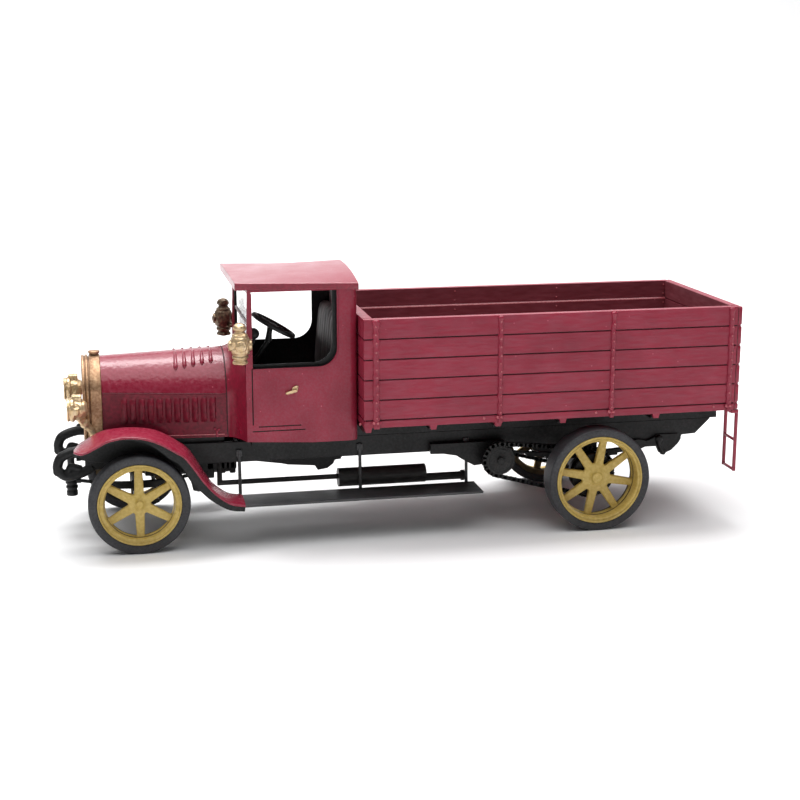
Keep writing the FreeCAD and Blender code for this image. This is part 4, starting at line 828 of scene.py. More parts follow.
def arch_row(x, half, foot, shoulder, crown, steps=40):
    """One section of the bonnet or cowl: up one side, over the arch and down the other side."""
    rise = crown - shoulder
    radius = arch_radius(half, rise)
    swing = math.asin(min(1.0, half / radius))
    if rise > half:
        swing = math.pi - swing
    row = [(x, half, foot), (x, half, shoulder)]
    for k in range(1, steps):
        turn = swing * (1 - 2 * k / steps)
        row.append((x, radius * math.sin(turn), crown - radius + radius * math.cos(turn)))
    return row + far_side(row[:2])


def blend(first, second, share):
    return tuple(a + (b - a) * share for a, b in zip(first, second))


class LORRY_OT_bonnet(bpy.types.Operator):
    """Make the bonnet with its louvres, hinges and latches, and the cowl behind it"""
    bl_idname = "lorry.bonnet"
    bl_label = "Bonnet and cowl"

    def execute(self, context):
        low, high = millimetres("bonnet")
        self.rear, self.foot, self.length = low.x, low.z, high.x - low.x
        bm = skin(bmesh.new(), [self.panel_row(self.rear + self.length * k / 12, *self.at(k / 12)) for k in range(13)])
        panels = piece("bonnet_panels", bm, "gloss_paint", ["bonnet"], 38.0)
        # painted shade on the bonnet's upright sides below the hinge
        repaint(panels, "side_paint", lambda centre, normal: abs(normal.y) > 0.9 and centre.z < 14.7)
        half, shoulder, crown = BONNET_REAR
        bm = skin(bmesh.new(), [arch_row(self.rear + x, half + out, self.foot, shoulder, crown + out)
                                for x, out in ((-0.06, 0.0), (-0.04, 0.025), (0.07, 0.025), (0.09, -0.02))])
        piece("bonnet_rear_gap", bm, "seam_paint")
        self.side_louvres()
        self.top_louvres()
        bm = bmesh.new()
        foot = self.foot
        for sign in (1, -1):
            x, y = self.rear + 1.05, sign * (self.at(0.09)[0] + 0.06)
            tube(bm, [(x, y, foot + 0.05), (x, y, foot + 0.72)], 0.13, 8)
            for lean in (-0.32, 0.32):
                tube(bm, spline([(x, y, foot + 0.6), (x + lean * 0.6, y, foot + 0.8), (x + lean, y, foot + 0.88)], 3),
                     0.1, 8)
        piece("bonnet_latches", bm, "red_paint", angle=80.0)
        bm = bmesh.new()
        steps = [0.3 + k * 0.8 for k in range(8)]
        for sign in (1, -1):
            tube(bm, [(self.rear + step, sign * (self.at(step / self.length)[0] + 0.06), foot + 0.28)
                      for step in steps], 0.06, 6)
        # the beads along the bonnet's foot get the painted-highlight crimson
        piece("bonnet_foot_beads", bm, "bead_paint", angle=80.0)
        self.cowl()
        return {"FINISHED"}

    def at(self, share):
        return blend(BONNET_REAR, BONNET_FRONT, share)

    def panel_row(self, x, half, shoulder, crown):
        """A bonnet section with its bottom bead and the groove under its hinge."""
        side = [(x, half + out, z) for out, z in (
            (0.05, self.foot), (0.05, self.foot + 0.26), (0.0, self.foot + 0.3), (0.0, shoulder - 0.14),
            (-0.09, shoulder - 0.11), (-0.09, shoulder - 0.03), (0.0, shoulder + 0.02))]
        return side + arch_row(x, half, self.foot, shoulder, crown)[2:-2] + far_side(side)

    def side_louvres(self):
        """Scoops with a round top, one after another along each side."""
        tall, wide, proud = 2.55, 0.66, 0.3
        rows = []
        for u in range(9):
            share = u / 8
            fade = math.sqrt(max(0.0, 1 - abs(2 * share - 1) ** 7))
            row = []
            for v in range(7):
                over = v / 6
                bulge = math.sin(math.pi * min(1.0, over * 0.62 + 0.02)) if over < 1 else 0.0
                row.append((wide * (0.5 - over), proud * fade * bulge * 1.02 - 0.02, -tall * (1 - share)))
            rows.append(row)
        lean = math.atan2(BONNET_REAR[0] - BONNET_FRONT[0], self.length)
        places = [1.42 + LOUVRE_PITCH * 0.985 * i for i in range(SIDE_LOUVRES)]
        for side, sign in SIDES:
            scoop = stock(skin(bmesh.new(), [[(sign * x, y, z) for x, y, z in row[::sign]] for row in rows],
                               closed=False, caps=False))
            points = [(self.rear + x, sign * self.at(x / self.length)[0], 14.5) for x in places]
            turn = -lean if sign > 0 else math.pi + lean
            # the side louvres get the bonnet's painted shade
            grow("side_louvres_" + side, "along", points, "side_paint", [(0, 0, turn)] * SIDE_LOUVRES, angle=60.0,
                 Piece=scoop)
            bpy.data.objects.remove(scoop)

    def top_louvres(self):
        """Raised drops across the bonnet's top, fat at their lower ends."""
        bm = bmesh.new()
        for i in range(TOP_LOUVRES):
            x = 1.35 + LOUVRE_PITCH * i
            half, shoulder, crown = self.at(x / self.length)
            radius = arch_radius(half, crown - shoulder)
            for sign in (1, -1):
                path, radii = [], []
                for k in range(9):
                    share = k / 8
                    turn = math.radians(9 + (30 + 2.2 * i) * share)
                    path.append((self.rear + x - 0.12 * (1 - share), sign * (radius + 0.01) * math.sin(turn),
                                 crown - radius + (radius + 0.01) * math.cos(turn)))
                    radii.append(0.11 + 0.14 * share if k not in (0, 8) else 0.08)
                tube(bm, path, radii, 10)
        piece("top_louvres", bm, "gloss_paint", angle=80.0)

    def cowl(self):
        rows = []
        for k in range(15):
            t = k / 14
            x = self.rear + (CAB_SHELL["front"] - self.rear) * t
            half, shoulder, crown = blend(BONNET_REAR, CAB_FACE, 0.25 * t + 0.75 * t ** 2.2)
            row = arch_row(x, half, self.foot, shoulder, crown)
            side = [(x, half, self.foot + (shoulder - self.foot) * share) for share in (0.3, 0.6, 0.9)]
            rows.append([row[0]] + side + row[1:-1] + far_side(side) + [row[-1]])
        # the cowl gets the crimson in painted shade
        piece("cowl_panel", skin(bmesh.new(), rows), "cowl_paint", angle=60.0)


# cab: its shell, the opening of its windscreen, and the lining's front, rear and window corner
CAB_SHELL = dict(front=15.75, rear=4.7, half=7.2, wall=0.5, sill=17.65, window_rear=6.77, corner=1.9,
                 lintel=24.95)
SCREEN = dict(rear=15.08, front=15.36, foot=19.7, top=25.0, half=6.6)
LINING = dict(front=15.1, back=5.22, window=7.16, foot=13.6, sill=18.0, corner=1.95, top=25.1)


class LORRY_OT_cab(bpy.types.Operator):
    """Make the cab's walls, roof, seat, windscreen, steering wheel and horn"""
    bl_idname = "lorry.cab"
    bl_label = "Cab"

    def execute(self, context):
        self.shell()
        self.lining()
        self.windscreen()
        self.sills()
        self.handles()
        self.roof()
        self.seat()
        self.steering()
        self.horn()
        return {"FINISHED"}

    def shell(self):
        """The cab's walls, with black paint on the faces inside."""
        c = CAB_SHELL
        low, high = millimetres("cab_body")
        shell = soften("cab_body", sizes().edge, (low.x - 1, -c["half"] - 0.005, low.z - 1),
                       (c["front"] - 0.005, c["half"] + 0.005, high.z + 1))
        for vert in shell.data.vertices:
            x, y, z = vert.co / MM
            if z > 19.6 and abs(y) > 6.4 and x > 15.5:
                vert.co.x -= 0.27 * MM
            if abs(y) > 6.5 and 6.6 < x < 15.2 and abs(z - c["lintel"]) < 0.13:
                vert.co.z += 0.16 * MM

        def inside(centre, normal):
            wall = c["wall"] - 0.06
            return abs(centre.y) < c["half"] - 0.08 and c["rear"] + wall < centre.x < c["front"] - wall

        repaint(shell, "black_paint", inside)
        # painted shade on the forward faces of the pillars beside the windscreen
        repaint(shell, "inner_paint", lambda centre, normal: not inside(centre, normal) and centre.z > 19.7
                and abs(centre.y) > 6.3 and normal.x > 0.5)

    def lining(self):
        """Black sheets inside the doors, round the windows, and a pale one on the rear wall, whose pale grey is painted
        light.
        """
        d = LINING
        window = quarter(d["window"] + d["corner"], d["sill"] + d["corner"], d["corner"], 8)
        outline = [(d["back"], d["foot"]), (d["front"], d["foot"]), (d["front"], d["sill"]), *window,
                   (d["window"], d["top"]), (d["back"], d["top"])]
        inside = CAB_SHELL["half"] - CAB_SHELL["wall"]
        bm = bmesh.new()
        for sign in (1, -1):
            slab(bm, outline, sign * (inside + 0.02), sign * (inside - 0.06))
        piece("cab_lining", bm, "black_paint")
        bm = bmesh.new()
        for y0, y1, z0, z1 in ((-6.6, -4.5, 20.0, 25.1), (4.5, 6.6, 20.0, 25.1), (-4.5, 4.5, 20.0, 21.2),
                               (-4.5, 4.5, 24.4, 25.1)):
            block(bm, (d["back"] - 0.04, y0, z0), (d["back"] + 0.04, y1, z1))
        # the frame round the rear window is pale grey: painted light
        piece("cab_rear_lining", bm, "lining_grey")

    def windscreen(self):
        """Thin uprights with one bar across them, and panes that fill only part of the opening."""
        d = SCREEN
        rear, front, foot, top, half = d["rear"], d["front"], d["foot"], d["top"], d["half"]
        bm = bmesh.new()
        for sign in (1, -1):
            y0, y1 = between(sign, half - 0.18, half + 0.08)
            block(bm, (rear, y0, foot), (front, y1, top), 0.04)
        block(bm, (rear, -half, foot), (front, half, foot + 0.26), 0.04)
        block(bm, (rear, -half, top - 0.2), (front, half, top), 0.04)
        piece("windscreen_uprights", bm, "black_paint", ["windscreen_frame"])
        bm = block(bmesh.new(), (rear - 0.03, -half, foot + 1.76), (front - 0.06, half, foot + 2.06), 0.05)
        # the bar across the windscreen is pale grey: painted reflection
        piece("windscreen_bar", bm, "lining_grey")
        bm = block(bmesh.new(), (15.18, -3.1, foot + 0.2), (15.22, 1.6, top - 0.15))
        block(bm, (15.18, 1.6, foot + 0.2), (15.22, half - 0.15, 23.0))
        piece("windscreen_panes", bm, "glass", ["windscreen_glass"])

    def sills(self):
        """A thin bead round the lower edge of each side window, and a strip on each front pillar."""
        c = CAB_SHELL
        rear, sill, corner = c["window_rear"] - 0.06, c["sill"] - 0.06, c["corner"]
        bead = [(c["front"] - 0.75, sill), *quarter(rear + corner, sill + corner, corner, 8), (rear, 25.1)]
        bm = bmesh.new()
        for sign in (1, -1):
            tube(bm, [(x, sign * (c["half"] + 0.03), z) for x, z in bead], 0.075, 8)
            y0, y1 = between(sign, 6.76, 7.19)
            block(bm, (15.06, y0, 17.7), (15.22, y1, 25.0), 0.03)
        piece("window_beads", bm, "red_paint", angle=80.0)

    def handles(self):
        for side, sign in SIDES:
            bm = tube(bmesh.new(), spline([(11.92, 7.38, 15.12), (11.5, 7.45, 15.22), (11.1, 7.45, 15.32),
                                           (10.8, 7.38, 15.36)], 4), [0.1] + [0.19] * 11 + [0.14], 10, 0.7)
            tube(bm, [(11.12, 7.3, 15.72), (10.9, 7.4, 15.76), (10.68, 7.3, 15.76)], [0.06, 0.13, 0.08], 10)
            tube(bm, [(11.0, 7.1, 15.5), (11.0, 7.36, 15.5)], 0.28, 14)
            piece("door_handle_" + side, sided(bm, sign), "brass", angle=60.0)

    def roof(self):
        """A slab with an upright edge, flat in front and arched at the rear."""
        low, high = millimetres("roof")
        rows = []
        for share, inset in [(0.0, 0.07), (0.004, 0.0), *((k / 10, 0.0) for k in range(1, 10)), (0.996, 0.0),
                             (1.0, 0.07)]:
            x = high.x + (low.x - high.x) * share
            half = high.y - inset
            top = 26.11 - 0.3 * share - inset
            base = 25.38 + inset - 0.2 * max(0.0, share - 0.8) / 0.2 - 0.1 * share
            crown = 0.05 + 0.86 * share
            lean = 2.0 * share
            side = [(x, half - 0.12, base), (x, half - 0.02, base + 0.03), (x, half, base + 0.1),
                    (x, half, top - 0.05), (x, half - 0.05, top)]
            over = []
            for k in range(1, 32):
                y = (half - 0.05) * math.cos(math.pi * k / 32)
                away = abs(y + lean) / (half + math.copysign(lean, y + lean))
                over.append((x, y, top + crown * (1 - away ** 2.2)))
            rows.append(side + over + far_side(side))
        roof = piece("roof_panel", skin(bmesh.new(), rows), "roof_paint", ["roof"], 40.0)
        # painted shade on the roof's upright edges and underside
        repaint(roof, "cowl_paint", lambda centre, normal: abs(normal.y) > 0.8 or normal.z < -0.5)

    def seat(self, pleats=10, tufts=13):
        """A pleated seat back and a pleated cushion on its box."""
        low, high = millimetres("seat")
        back, half = low.x, high.y - 0.1
        steps = pleats * 6
        rows = []
        for s in range(steps + 1):
            share = s / steps
            puff = 0.2 * (abs(math.sin(math.pi * pleats * share)) ** 0.6 - 1)
            end = 0.3 * max(0.0, 1 - abs(2 * share - 1) ** 14)
            rows.append([(back + x, -half + 2 * half * share, z) for x, z in (
                (0.02, 14.2), (1.8 + puff, 14.2), (1.8 + puff, 16.0), (1.55 + puff, 19.0), (1.35 + puff, 20.9 + end),
                (1.15 + puff, 21.55 + end), (0.75, 21.85 + end), (0.3, 21.8 + end), (0.02, 21.5 + end))])
        bm = skin(bmesh.new(), rows)
        block(bm, (back, -half, low.z), (high.x - 0.3, half, 13.6), 0.1)
        wide = 2 * half / tufts
        for i in range(tufts):
            y = -half + wide * i
            block(bm, (back + 1.2, y + 0.01, 13.5), (high.x, y + wide - 0.01, 14.85), 0.32, 3)
        piece("seat_upholstery", bm, "seat_leather", ["seat"], 70.0)

    def steering(self):
        """The steering wheel with its hub, column, foot and hand lever."""
        centre = Vector((12.5, 3.4, 21.25))
        tilt = math.radians(30.0)
        normal = Vector((-math.sin(tilt), 0, math.cos(tilt)))
        ahead = Vector((math.cos(tilt), 0, math.sin(tilt)))
        wide = Vector((0, 1, 0))
        radius = 2.2
        ring = [centre + around(2 * math.pi * k / 48, ahead, wide) * radius for k in range(48)]
        bm = tube(bmesh.new(), ring + [ring[0]], 0.24, 10)
        for k in range(4):
            out = around(math.pi / 4 + math.pi / 2 * k, ahead, wide)
            tube(bm, [centre + normal * -0.12, centre + out * radius * 0.5 + normal * -0.08, centre + out * radius],
                 [0.2, 0.14, 0.14], 8)
        foot = centre - normal * ((CAB_SHELL["front"] - CAB_SHELL["wall"] - centre.x) / math.sin(tilt))
        lever = centre - normal * 0.75
        for path, radii, sides in (
                ([centre + normal * 0.14, centre + normal * 0.05, centre - normal * 0.3], [0.2, 0.42, 0.34], 16),
                ([centre + Vector(p) for p in ((0.32, 0, 0), (0.45, 0, -0.8), (0.55, 0, -1.6))],
                 [0.28, 0.28, 0.36], 14),
                ([centre + Vector((0.62, 0, -1.6)), foot], 0.24, 12),
                ([foot + Vector((-0.6, 0, 0)), foot + Vector((0.02, 0, 0))], [0.34, 0.5], 12),
                ([lever, lever + wide * 1.3 + ahead * 0.2], [0.07, 0.1], 8)):
            tube(bm, path, radii, sides)
        piece("steering_gear", bm, "black_paint", ["steering_wheel"], 60.0)

    def horn(self):
        low, high = millimetres("horn")
        x, y, top = 14.68, (low.y + high.y) / 2, high.z
        bm = lathe(bmesh.new(), [(0, 0), (0.24, 0.05), (0.44, 0.2), (0.56, 0.42), (0.58, 0.6), (0.5, 0.86),
                                 (0.32, 1.04), (0.14, 1.13), (0, 1.14)], (x, y, top - 1.0), "Z", 24)
        tube(bm, spline([(x, y, top - 0.8), (x, y, top - 1.2), (x + 0.25, y, top - 1.6), (15.2, y, low.z + 0.1)], 4),
             0.14, 8)
        piece("horn_bulb", bm, "black_paint", ["horn"], 80.0)


# fenders: side view of the inner edge and of the rolled outer edge, from the tip back to the running board
FENDER_INNER = ((32.35, 10.2), (31.84, 10.75), (31.13, 11.14), (30.41, 11.56), (29.7, 11.85), (29.0, 12.0),
                (27.6, 12.1), (26.2, 12.04), (24.8, 11.8), (23.96, 11.45), (23.1, 10.96), (22.3, 10.4), (21.6, 9.85),
                (20.85, 8.8), (20.08, 7.42), (19.25, 6.2), (18.4, 5.42), (17.5, 4.9), (16.25, 4.68))
FENDER_OUTER = ((32.3, 10.5), (31.75, 10.5), (31.04, 10.72), (30.49, 11.0), (29.79, 11.36), (29.09, 11.66),
                (27.7, 11.9), (26.1, 11.78), (24.97, 11.46), (24.15, 11.08), (23.34, 10.6), (22.66, 10.15),
                (21.85, 9.58), (20.93, 8.28), (20.18, 7.14), (19.39, 6.19), (18.67, 5.49), (17.55, 4.74), (16.25, 4.48))


class LORRY_OT_fenders(bpy.types.Operator):
    """Make the front fenders, their aprons and the running board"""
    bl_idname = "lorry.fenders"
    bl_label = "Fenders and running board"

    def execute(self, context):
        low, high = millimetres("front_fender_left")
        inner_path = spline([(x, low.y, z) for x, z in FENDER_INNER], 4)
        outer_path = spline([(x, high.y, z) for x, z in FENDER_OUTER], 4)
        thick = sizes().fender
        inward = Vector((0, -0.12, 0))
        rows, lips = [], []
        for k, (first, last) in enumerate(zip(inner_path, outer_path)):
            along = inner_path[min(k + 1, len(inner_path) - 1)] - inner_path[max(k - 1, 0)]
            normal = Vector((along.z, 0, -along.x)).normalized()
            tip = math.sqrt(max(0.0, 1 - ((5 - k) / 5.5) ** 2)) if k < 5 else 1.0
            top = []
            for s in range(13):
                share = 0.5 + (s / 12 - 0.5) * (0.12 + 0.88 * tip)
                bulge = 0.08 * math.sin(math.pi * min(1.0, share)) ** 0.8
                top.append(first.lerp(last, share) + normal * (bulge + 0.02))
            under = [point - normal * thick for point in reversed(top)]
            rows.append(top + under)
            lip = under[0]
            depth = 0.12 + 0.62 * min(1.0, max(0.0, (k - 26) / 16)) - 0.3 * max(0.0, (k - 58) / 14)
            lips.append([lip, lip - normal * depth, lip - normal * depth + inward, lip + inward])
        for side, sign in SIDES:
            fender = piece("fender_%s_sheet" % side, sided(skin(bmesh.new(), rows), sign), "gloss_paint",
                           ["front_fender_" + side], 60.0)
            repaint(fender, "black_paint", lambda centre, normal: abs(centre.y) < low.y + 0.02
                    or normal.z < -0.15 and abs(centre.y) < high.y - 0.12)
            bm = tube(bmesh.new(), [row[12] * 0.6 + row[13] * 0.4 for row in rows], thick * 0.6, 8)
            piece("fender_%s_bead" % side, sided(bm, sign), "gloss_paint", angle=80.0)
            piece("fender_%s_lining" % side, sided(skin(bmesh.new(), lips), sign), "black_paint", angle=60.0)
            soften("fender_apron_" + side, 0.05)
        self.board()
        return {"FINISHED"}

    def board(self):
        """The running board with its beads and the three struts that carry it."""
        low, high = millimetres("running_board_left")
        top = low.z + 0.22
        bm = block(bmesh.new(), (low.x, 4.8, low.z), (high.x, high.y, top), 0.05)
        tube(bm, [(x, high.y - 0.05, top - 0.04) for x in (low.x + 0.05, high.x - 0.05)], 0.09, 8)
        tube(bm, [(low.x + 0.05, y, top - 0.06) for y in (4.85, high.y - 0.05)], 0.08, 8)
        for x in (high.x - 0.06, (low.x + high.x) / 2 - 0.17, low.x + 0.83):
            tube(bm, spline([(x, 4.62, high.z), (x, 4.72, high.z - 1.0), (x, 4.95, top)], 4), 0.17, 8)
            block(bm, (x - 0.3, 4.5, high.z - 0.7), (x + 0.3, 4.75, high.z), 0.06)
        piece("running_board_tread", bm, "board_paint", ["running_board_left"], 50.0)


# chassis, in side view: the loop of a dumb iron, the plate and the tail of a rear spring, and lugs under the rails
DUMB_IRON = ((30.6, 9.5), (31.4, 9.62), (32.1, 9.62), (33.0, 9.38), (33.68, 9.02), (33.98, 8.42), (34.02, 7.9),
             (33.7, 7.42), (33.1, 7.1), (32.3, 7.25), (31.5, 7.5), (30.6, 8.0))
IRON_SPLIT, IRON_Y = 31.4, 4.2
SHACKLE = ((-27.7, 8.3), (-27.75, 7.05), (-28.1, 6.3), (-28.45, 6.1), (-28.8, 6.25), (-29.46, 6.53), (-30.2, 7.25),
           (-30.48, 7.75), (-30.42, 8.0), (-30.1, 8.25))
SPRING_TAIL = ((-25.0, 7.75), (-25.55, 7.9), (-26.1, 7.84), (-26.67, 7.68), (-27.3, 7.98), (-27.8, 8.2),
               (-28.0, 7.6), (-27.8, 7.08), (-26.4, 7.06), (-25.9, 6.85), (-25.2, 6.55))
LUGS = ((18.75, 20.7, 5.9), (17.6, 18.1, 6.35), (17.15, 17.62, 6.6), (16.6, 17.2, 6.3), (16.5, 19.5, 6.75))


class LORRY_OT_chassis(bpy.types.Operator):
    """Make the frame with its round irons, and round the edges of what it carries"""
    bl_idname = "lorry.chassis"
    bl_label = "Chassis"

    def execute(self, context):
        edge = sizes().edge
        for side, sign in SIDES:
            low, high = millimetres("frame_rail_" + side)
            soften("frame_rail_" + side, edge, (low.x - 1, low.y - 1, low.z - 1),
                   (IRON_SPLIT, high.y + 1, high.z + 1))
            bm = tube(bmesh.new(), spline([(x, IRON_Y, z) for x, z in DUMB_IRON], 4), 0.5, 12)
            eye = ((33.2, 7.1), (32.9, 7.9), (32.7, 8.1), (31.8, 7.8))
            tube(bm, spline([(x, IRON_Y, z) for x, z in eye], 3), 0.36, 10)
            lathe(bm, [(0, -0.42), (0.5, -0.42), (0.5, 0.42), (0, 0.42)], (34.0, IRON_Y, 7.72), "Y", 16)
            cast("dumb_iron_" + side, sided(bm, sign), "black_paint", voxel=0.07, passes=3)
            soften("front_spring_" + side, edge * 0.7)
            soften("rear_spring_" + side, edge * 0.7)
        self.shackles()
        for node in ("bed_frame", "crankcase", "gearbox", "front_axle", "rear_axle", "cross_shaft", "exhaust"):
            soften(node, edge * 0.7)
        bm = bmesh.new()
        for x0, x1, z in LUGS:
            block(bm, (x0, 2.3, z), (x1, 3.5, 7.9), 0.12)
        block(bm, (-24.0, 2.3, 7.5), (-16.5, 3.4, 8.6), 0.1)
        block(bm, (-21.7, 2.4, 6.3), (-17.5, 3.3, 8.0), 0.2)
        piece("chassis_lugs", bm, "black_paint", angle=60.0)
        x, foot = 32.8, millimetres("starting_crank")[0].z
        bm = lathe(bmesh.new(), [(0, 4.9), (0.34, 4.86), (0.46, 4.7), (0.46, 4.45), (0.36, 4.3), (0.36, 3.2),
                                 (0.42, 2.4), (0.5, 1.75), (0.5, 1.6), (0.62, 1.5), (0.64, 1.3), (0.5, 1.18),
                                 (0.5, 1.08), (0.6, 0.98), (0.6, 0.8), (0.5, 0.7), (0.5, 0.55), (0.56, 0.45),
                                 (0.56, 0.05), (0.5, 0), (0, 0)], (x, 0, foot), "Z", 24)
        tube(bm, [(31.3, 0, foot + 4.55), (x, 0, foot + 4.55)], 0.3, 12)
        piece("crank_post", bm, "black_paint", ["starting_crank"], 60.0)
        return {"FINISHED"}

    def shackles(self):
        """Folded plates with a ball end that hold the rear springs' tails, and knobs on the springs."""
        for side, sign in SIDES:
            bm = slab(bmesh.new(), SHACKLE, 4.3, 4.72)
            slab(bm, SPRING_TAIL, 4.25, 4.9)
            tube(bm, spline([(-27.85, 4.85, 7.9), (-27.95, 4.9, 7.3), (-28.2, 4.9, 6.7), (-28.45, 4.85, 6.35)], 4),
                 [0.3] * 4 + [0.24] * 9, 10)
            lathe(bm, [(0, -0.35), (0.3, -0.35), (0.4, -0.2), (0.4, 0.2), (0.3, 0.3), (0.12, 0.3), (0.12, 0.2),
                       (0, 0.2)], (-27.92, 4.8, 7.85), "Y", 16)
            lathe(bm, [(0, -0.35), (0.26, -0.3), (0.32, 0), (0.26, 0.3), (0, 0.35)], (-28.45, 4.75, 6.38), "Y", 14)
            piece("rear_shackle_" + side, sided(bm, sign), "black_paint", angle=60.0)


# chains: centre in side view and pitch radius of the sprockets, and the corners of half a link plate
CHAIN_FRONT = (-10.0, 7.1, 1.67)
CHAIN_REAR = (-19.6, 5.3, 2.5)
LINK_PLATE = ((1, 0.45), (0.75, 1), (0.3, 0.8), (-0.3, 0.8), (-0.75, 1), (-1, 0.45))


def path_length(path):
    return sum(math.dist(a, b) for a, b in zip(path, path[1:]))


class LORRY_OT_chains(bpy.types.Operator):
    """Make the roller chains and the faces of their sprockets"""
    bl_idname = "lorry.chains"
    bl_label = "Drive chains"

    def execute(self, context):
        low, high = millimetres("drive_chain_left")
        middle = (low.y + high.y) / 2
        half = (high.y - low.y) / 2
        path = self.path()
        points, turns = self.spaced(path)
        for side, sign in SIDES:
            for kind, word, replaced in ((0, "outer", ["drive_chain_" + side]), (1, "inner", ())):
                link = stock(self.link(half, kind))
                grow("chain_links_%s_%s" % (word, side), "along", [(x, sign * middle, z) for x, z in points[kind::2]],
                     "chain_steel", [(0, turn, 0) for turn in turns[kind::2]], replaced, Piece=link)
                bpy.data.objects.remove(link)
            rows = []
            loop = path[:-1]
            for k, here in enumerate(loop):
                before, after = loop[k - 1], loop[(k + 1) % len(loop)]
                along = Vector((after[0] - before[0], 0, after[1] - before[1])).normalized()
                out = Vector((along.z, 0, -along.x)) * 0.13
                place = Vector((here[0], middle, here[1]))
                wide = Vector((0, half - 0.14, 0))
                rows.append([place + out + wide, place - out + wide, place - out - wide, place + out - wide])
            piece("chain_rollers_" + side, sided(skin(bmesh.new(), rows, loop=True), sign), "chain_steel")
            x, z, _ = CHAIN_FRONT
            steps = ((0, 0.34), (0.3, 0.34), (0.36, 0.1), (0.42, 0.08), (0.95, 0.02), (1.12, 0.02), (1.16, -0.1),
                     (1.24, -0.1), (1.28, 0.03), (1.5, 0.0))
            bm = lathe(bmesh.new(), [(radius, high.y + out) for radius, out in steps] + [(1.5, middle), (0, middle)],
                       (x, 0, z), "Y", 64)
            piece("sprocket_face_" + side, sided(bm, sign), "chain_steel", angle=40.0)
        return {"FINISHED"}

    def path(self):
        """The chain's line in side view: round the front sprocket, back, round the rear one and forward."""
        (ax, az, ar), (bx, bz, br) = CHAIN_FRONT, CHAIN_REAR
        heading = math.atan2(az - bz, ax - bx)
        lean = math.asin((br - ar) / math.hypot(ax - bx, az - bz))
        path = []
        for (x, z, radius), start, sweep, steps in (
                (CHAIN_FRONT, heading - math.pi / 2 + lean, math.pi - 2 * lean, 24),
                (CHAIN_REAR, heading + math.pi / 2 - lean, math.pi + 2 * lean, 32)):
            for k in range(steps + 1):
                turn = start + sweep * k / steps
                path.append((x + radius * math.cos(turn), z + radius * math.sin(turn)))
        return path + [path[0]]

    def spaced(self, path):
        """Places and turns of an even number of links along the path."""
        count = int(round(path_length(path) / sizes().link))
        count += count % 2
        step = path_length(path) / count
        points, turns = [], []
        travelled, wanted = 0.0, 0.0
        for a, b in zip(path, path[1:]):
            reach = math.dist(a, b)
            while wanted < travelled + reach - 1e-9 and len(points) < count:
                points.append(blend(a, b, (wanted - travelled) / reach))
                turns.append(-math.atan2(b[1] - a[1], b[0] - a[0]))
                wanted += step
            travelled += reach
        return points, turns

    def link(self, half, kind):
        """A pair of side plates with their rollers, wider apart on every second link."""
        out = half - 0.02 - 0.1 * kind
        reach = sizes().link * 0.78
        plate = [(reach * x, 0.22 * z) for x, z in LINK_PLATE]
        bm = bmesh.new()
        for sign in (1, -1):
            slab(bm, plate + [(x, -z) for x, z in reversed(plate)], sign * out, sign * (out - 0.1))
        return lathe(bm, [(0.21, -out), (0.21, out), (0.0, out), (0.0, -out)], (0, 0, 0), "Y", 8)


# lamps: (radius, place) along the body of a side lamp, upwards, and of a headlamp, forwards to its lens
SIDE_LAMP = [(0, 0), (0.62, 0), (0.72, 0.06), (0.76, 0.2), (0.62, 0.32), (0.6, 0.5), (0.74, 0.58), (0.76, 0.74),
             (0.66, 0.86), (0.84, 1.1), (0.92, 1.4), (0.95, 1.8), (0.95, 2.25), (0.86, 2.55), (0.74, 2.68),
             (0.76, 2.84), (0.55, 3.0), (0.46, 3.14), (0.48, 3.24), (0.6, 3.32), (0.62, 3.52), (0.52, 3.74),
             (0.3, 3.9), (0, 3.97)]
HEADLAMP = [(0, -1.95), (0.55, -1.95), (0.8, -1.7), (0.98, -1.35), (1.02, -0.72), (1.16, -0.66), (1.18, -0.4),
            (1.1, -0.32), (1.1, -0.22), (1.18, -0.14), (1.14, -0.02), (1.0, 0), (0.92, -0.12), (0.7, -0.1),
            (0.4, -0.02), (0, 0.0)]


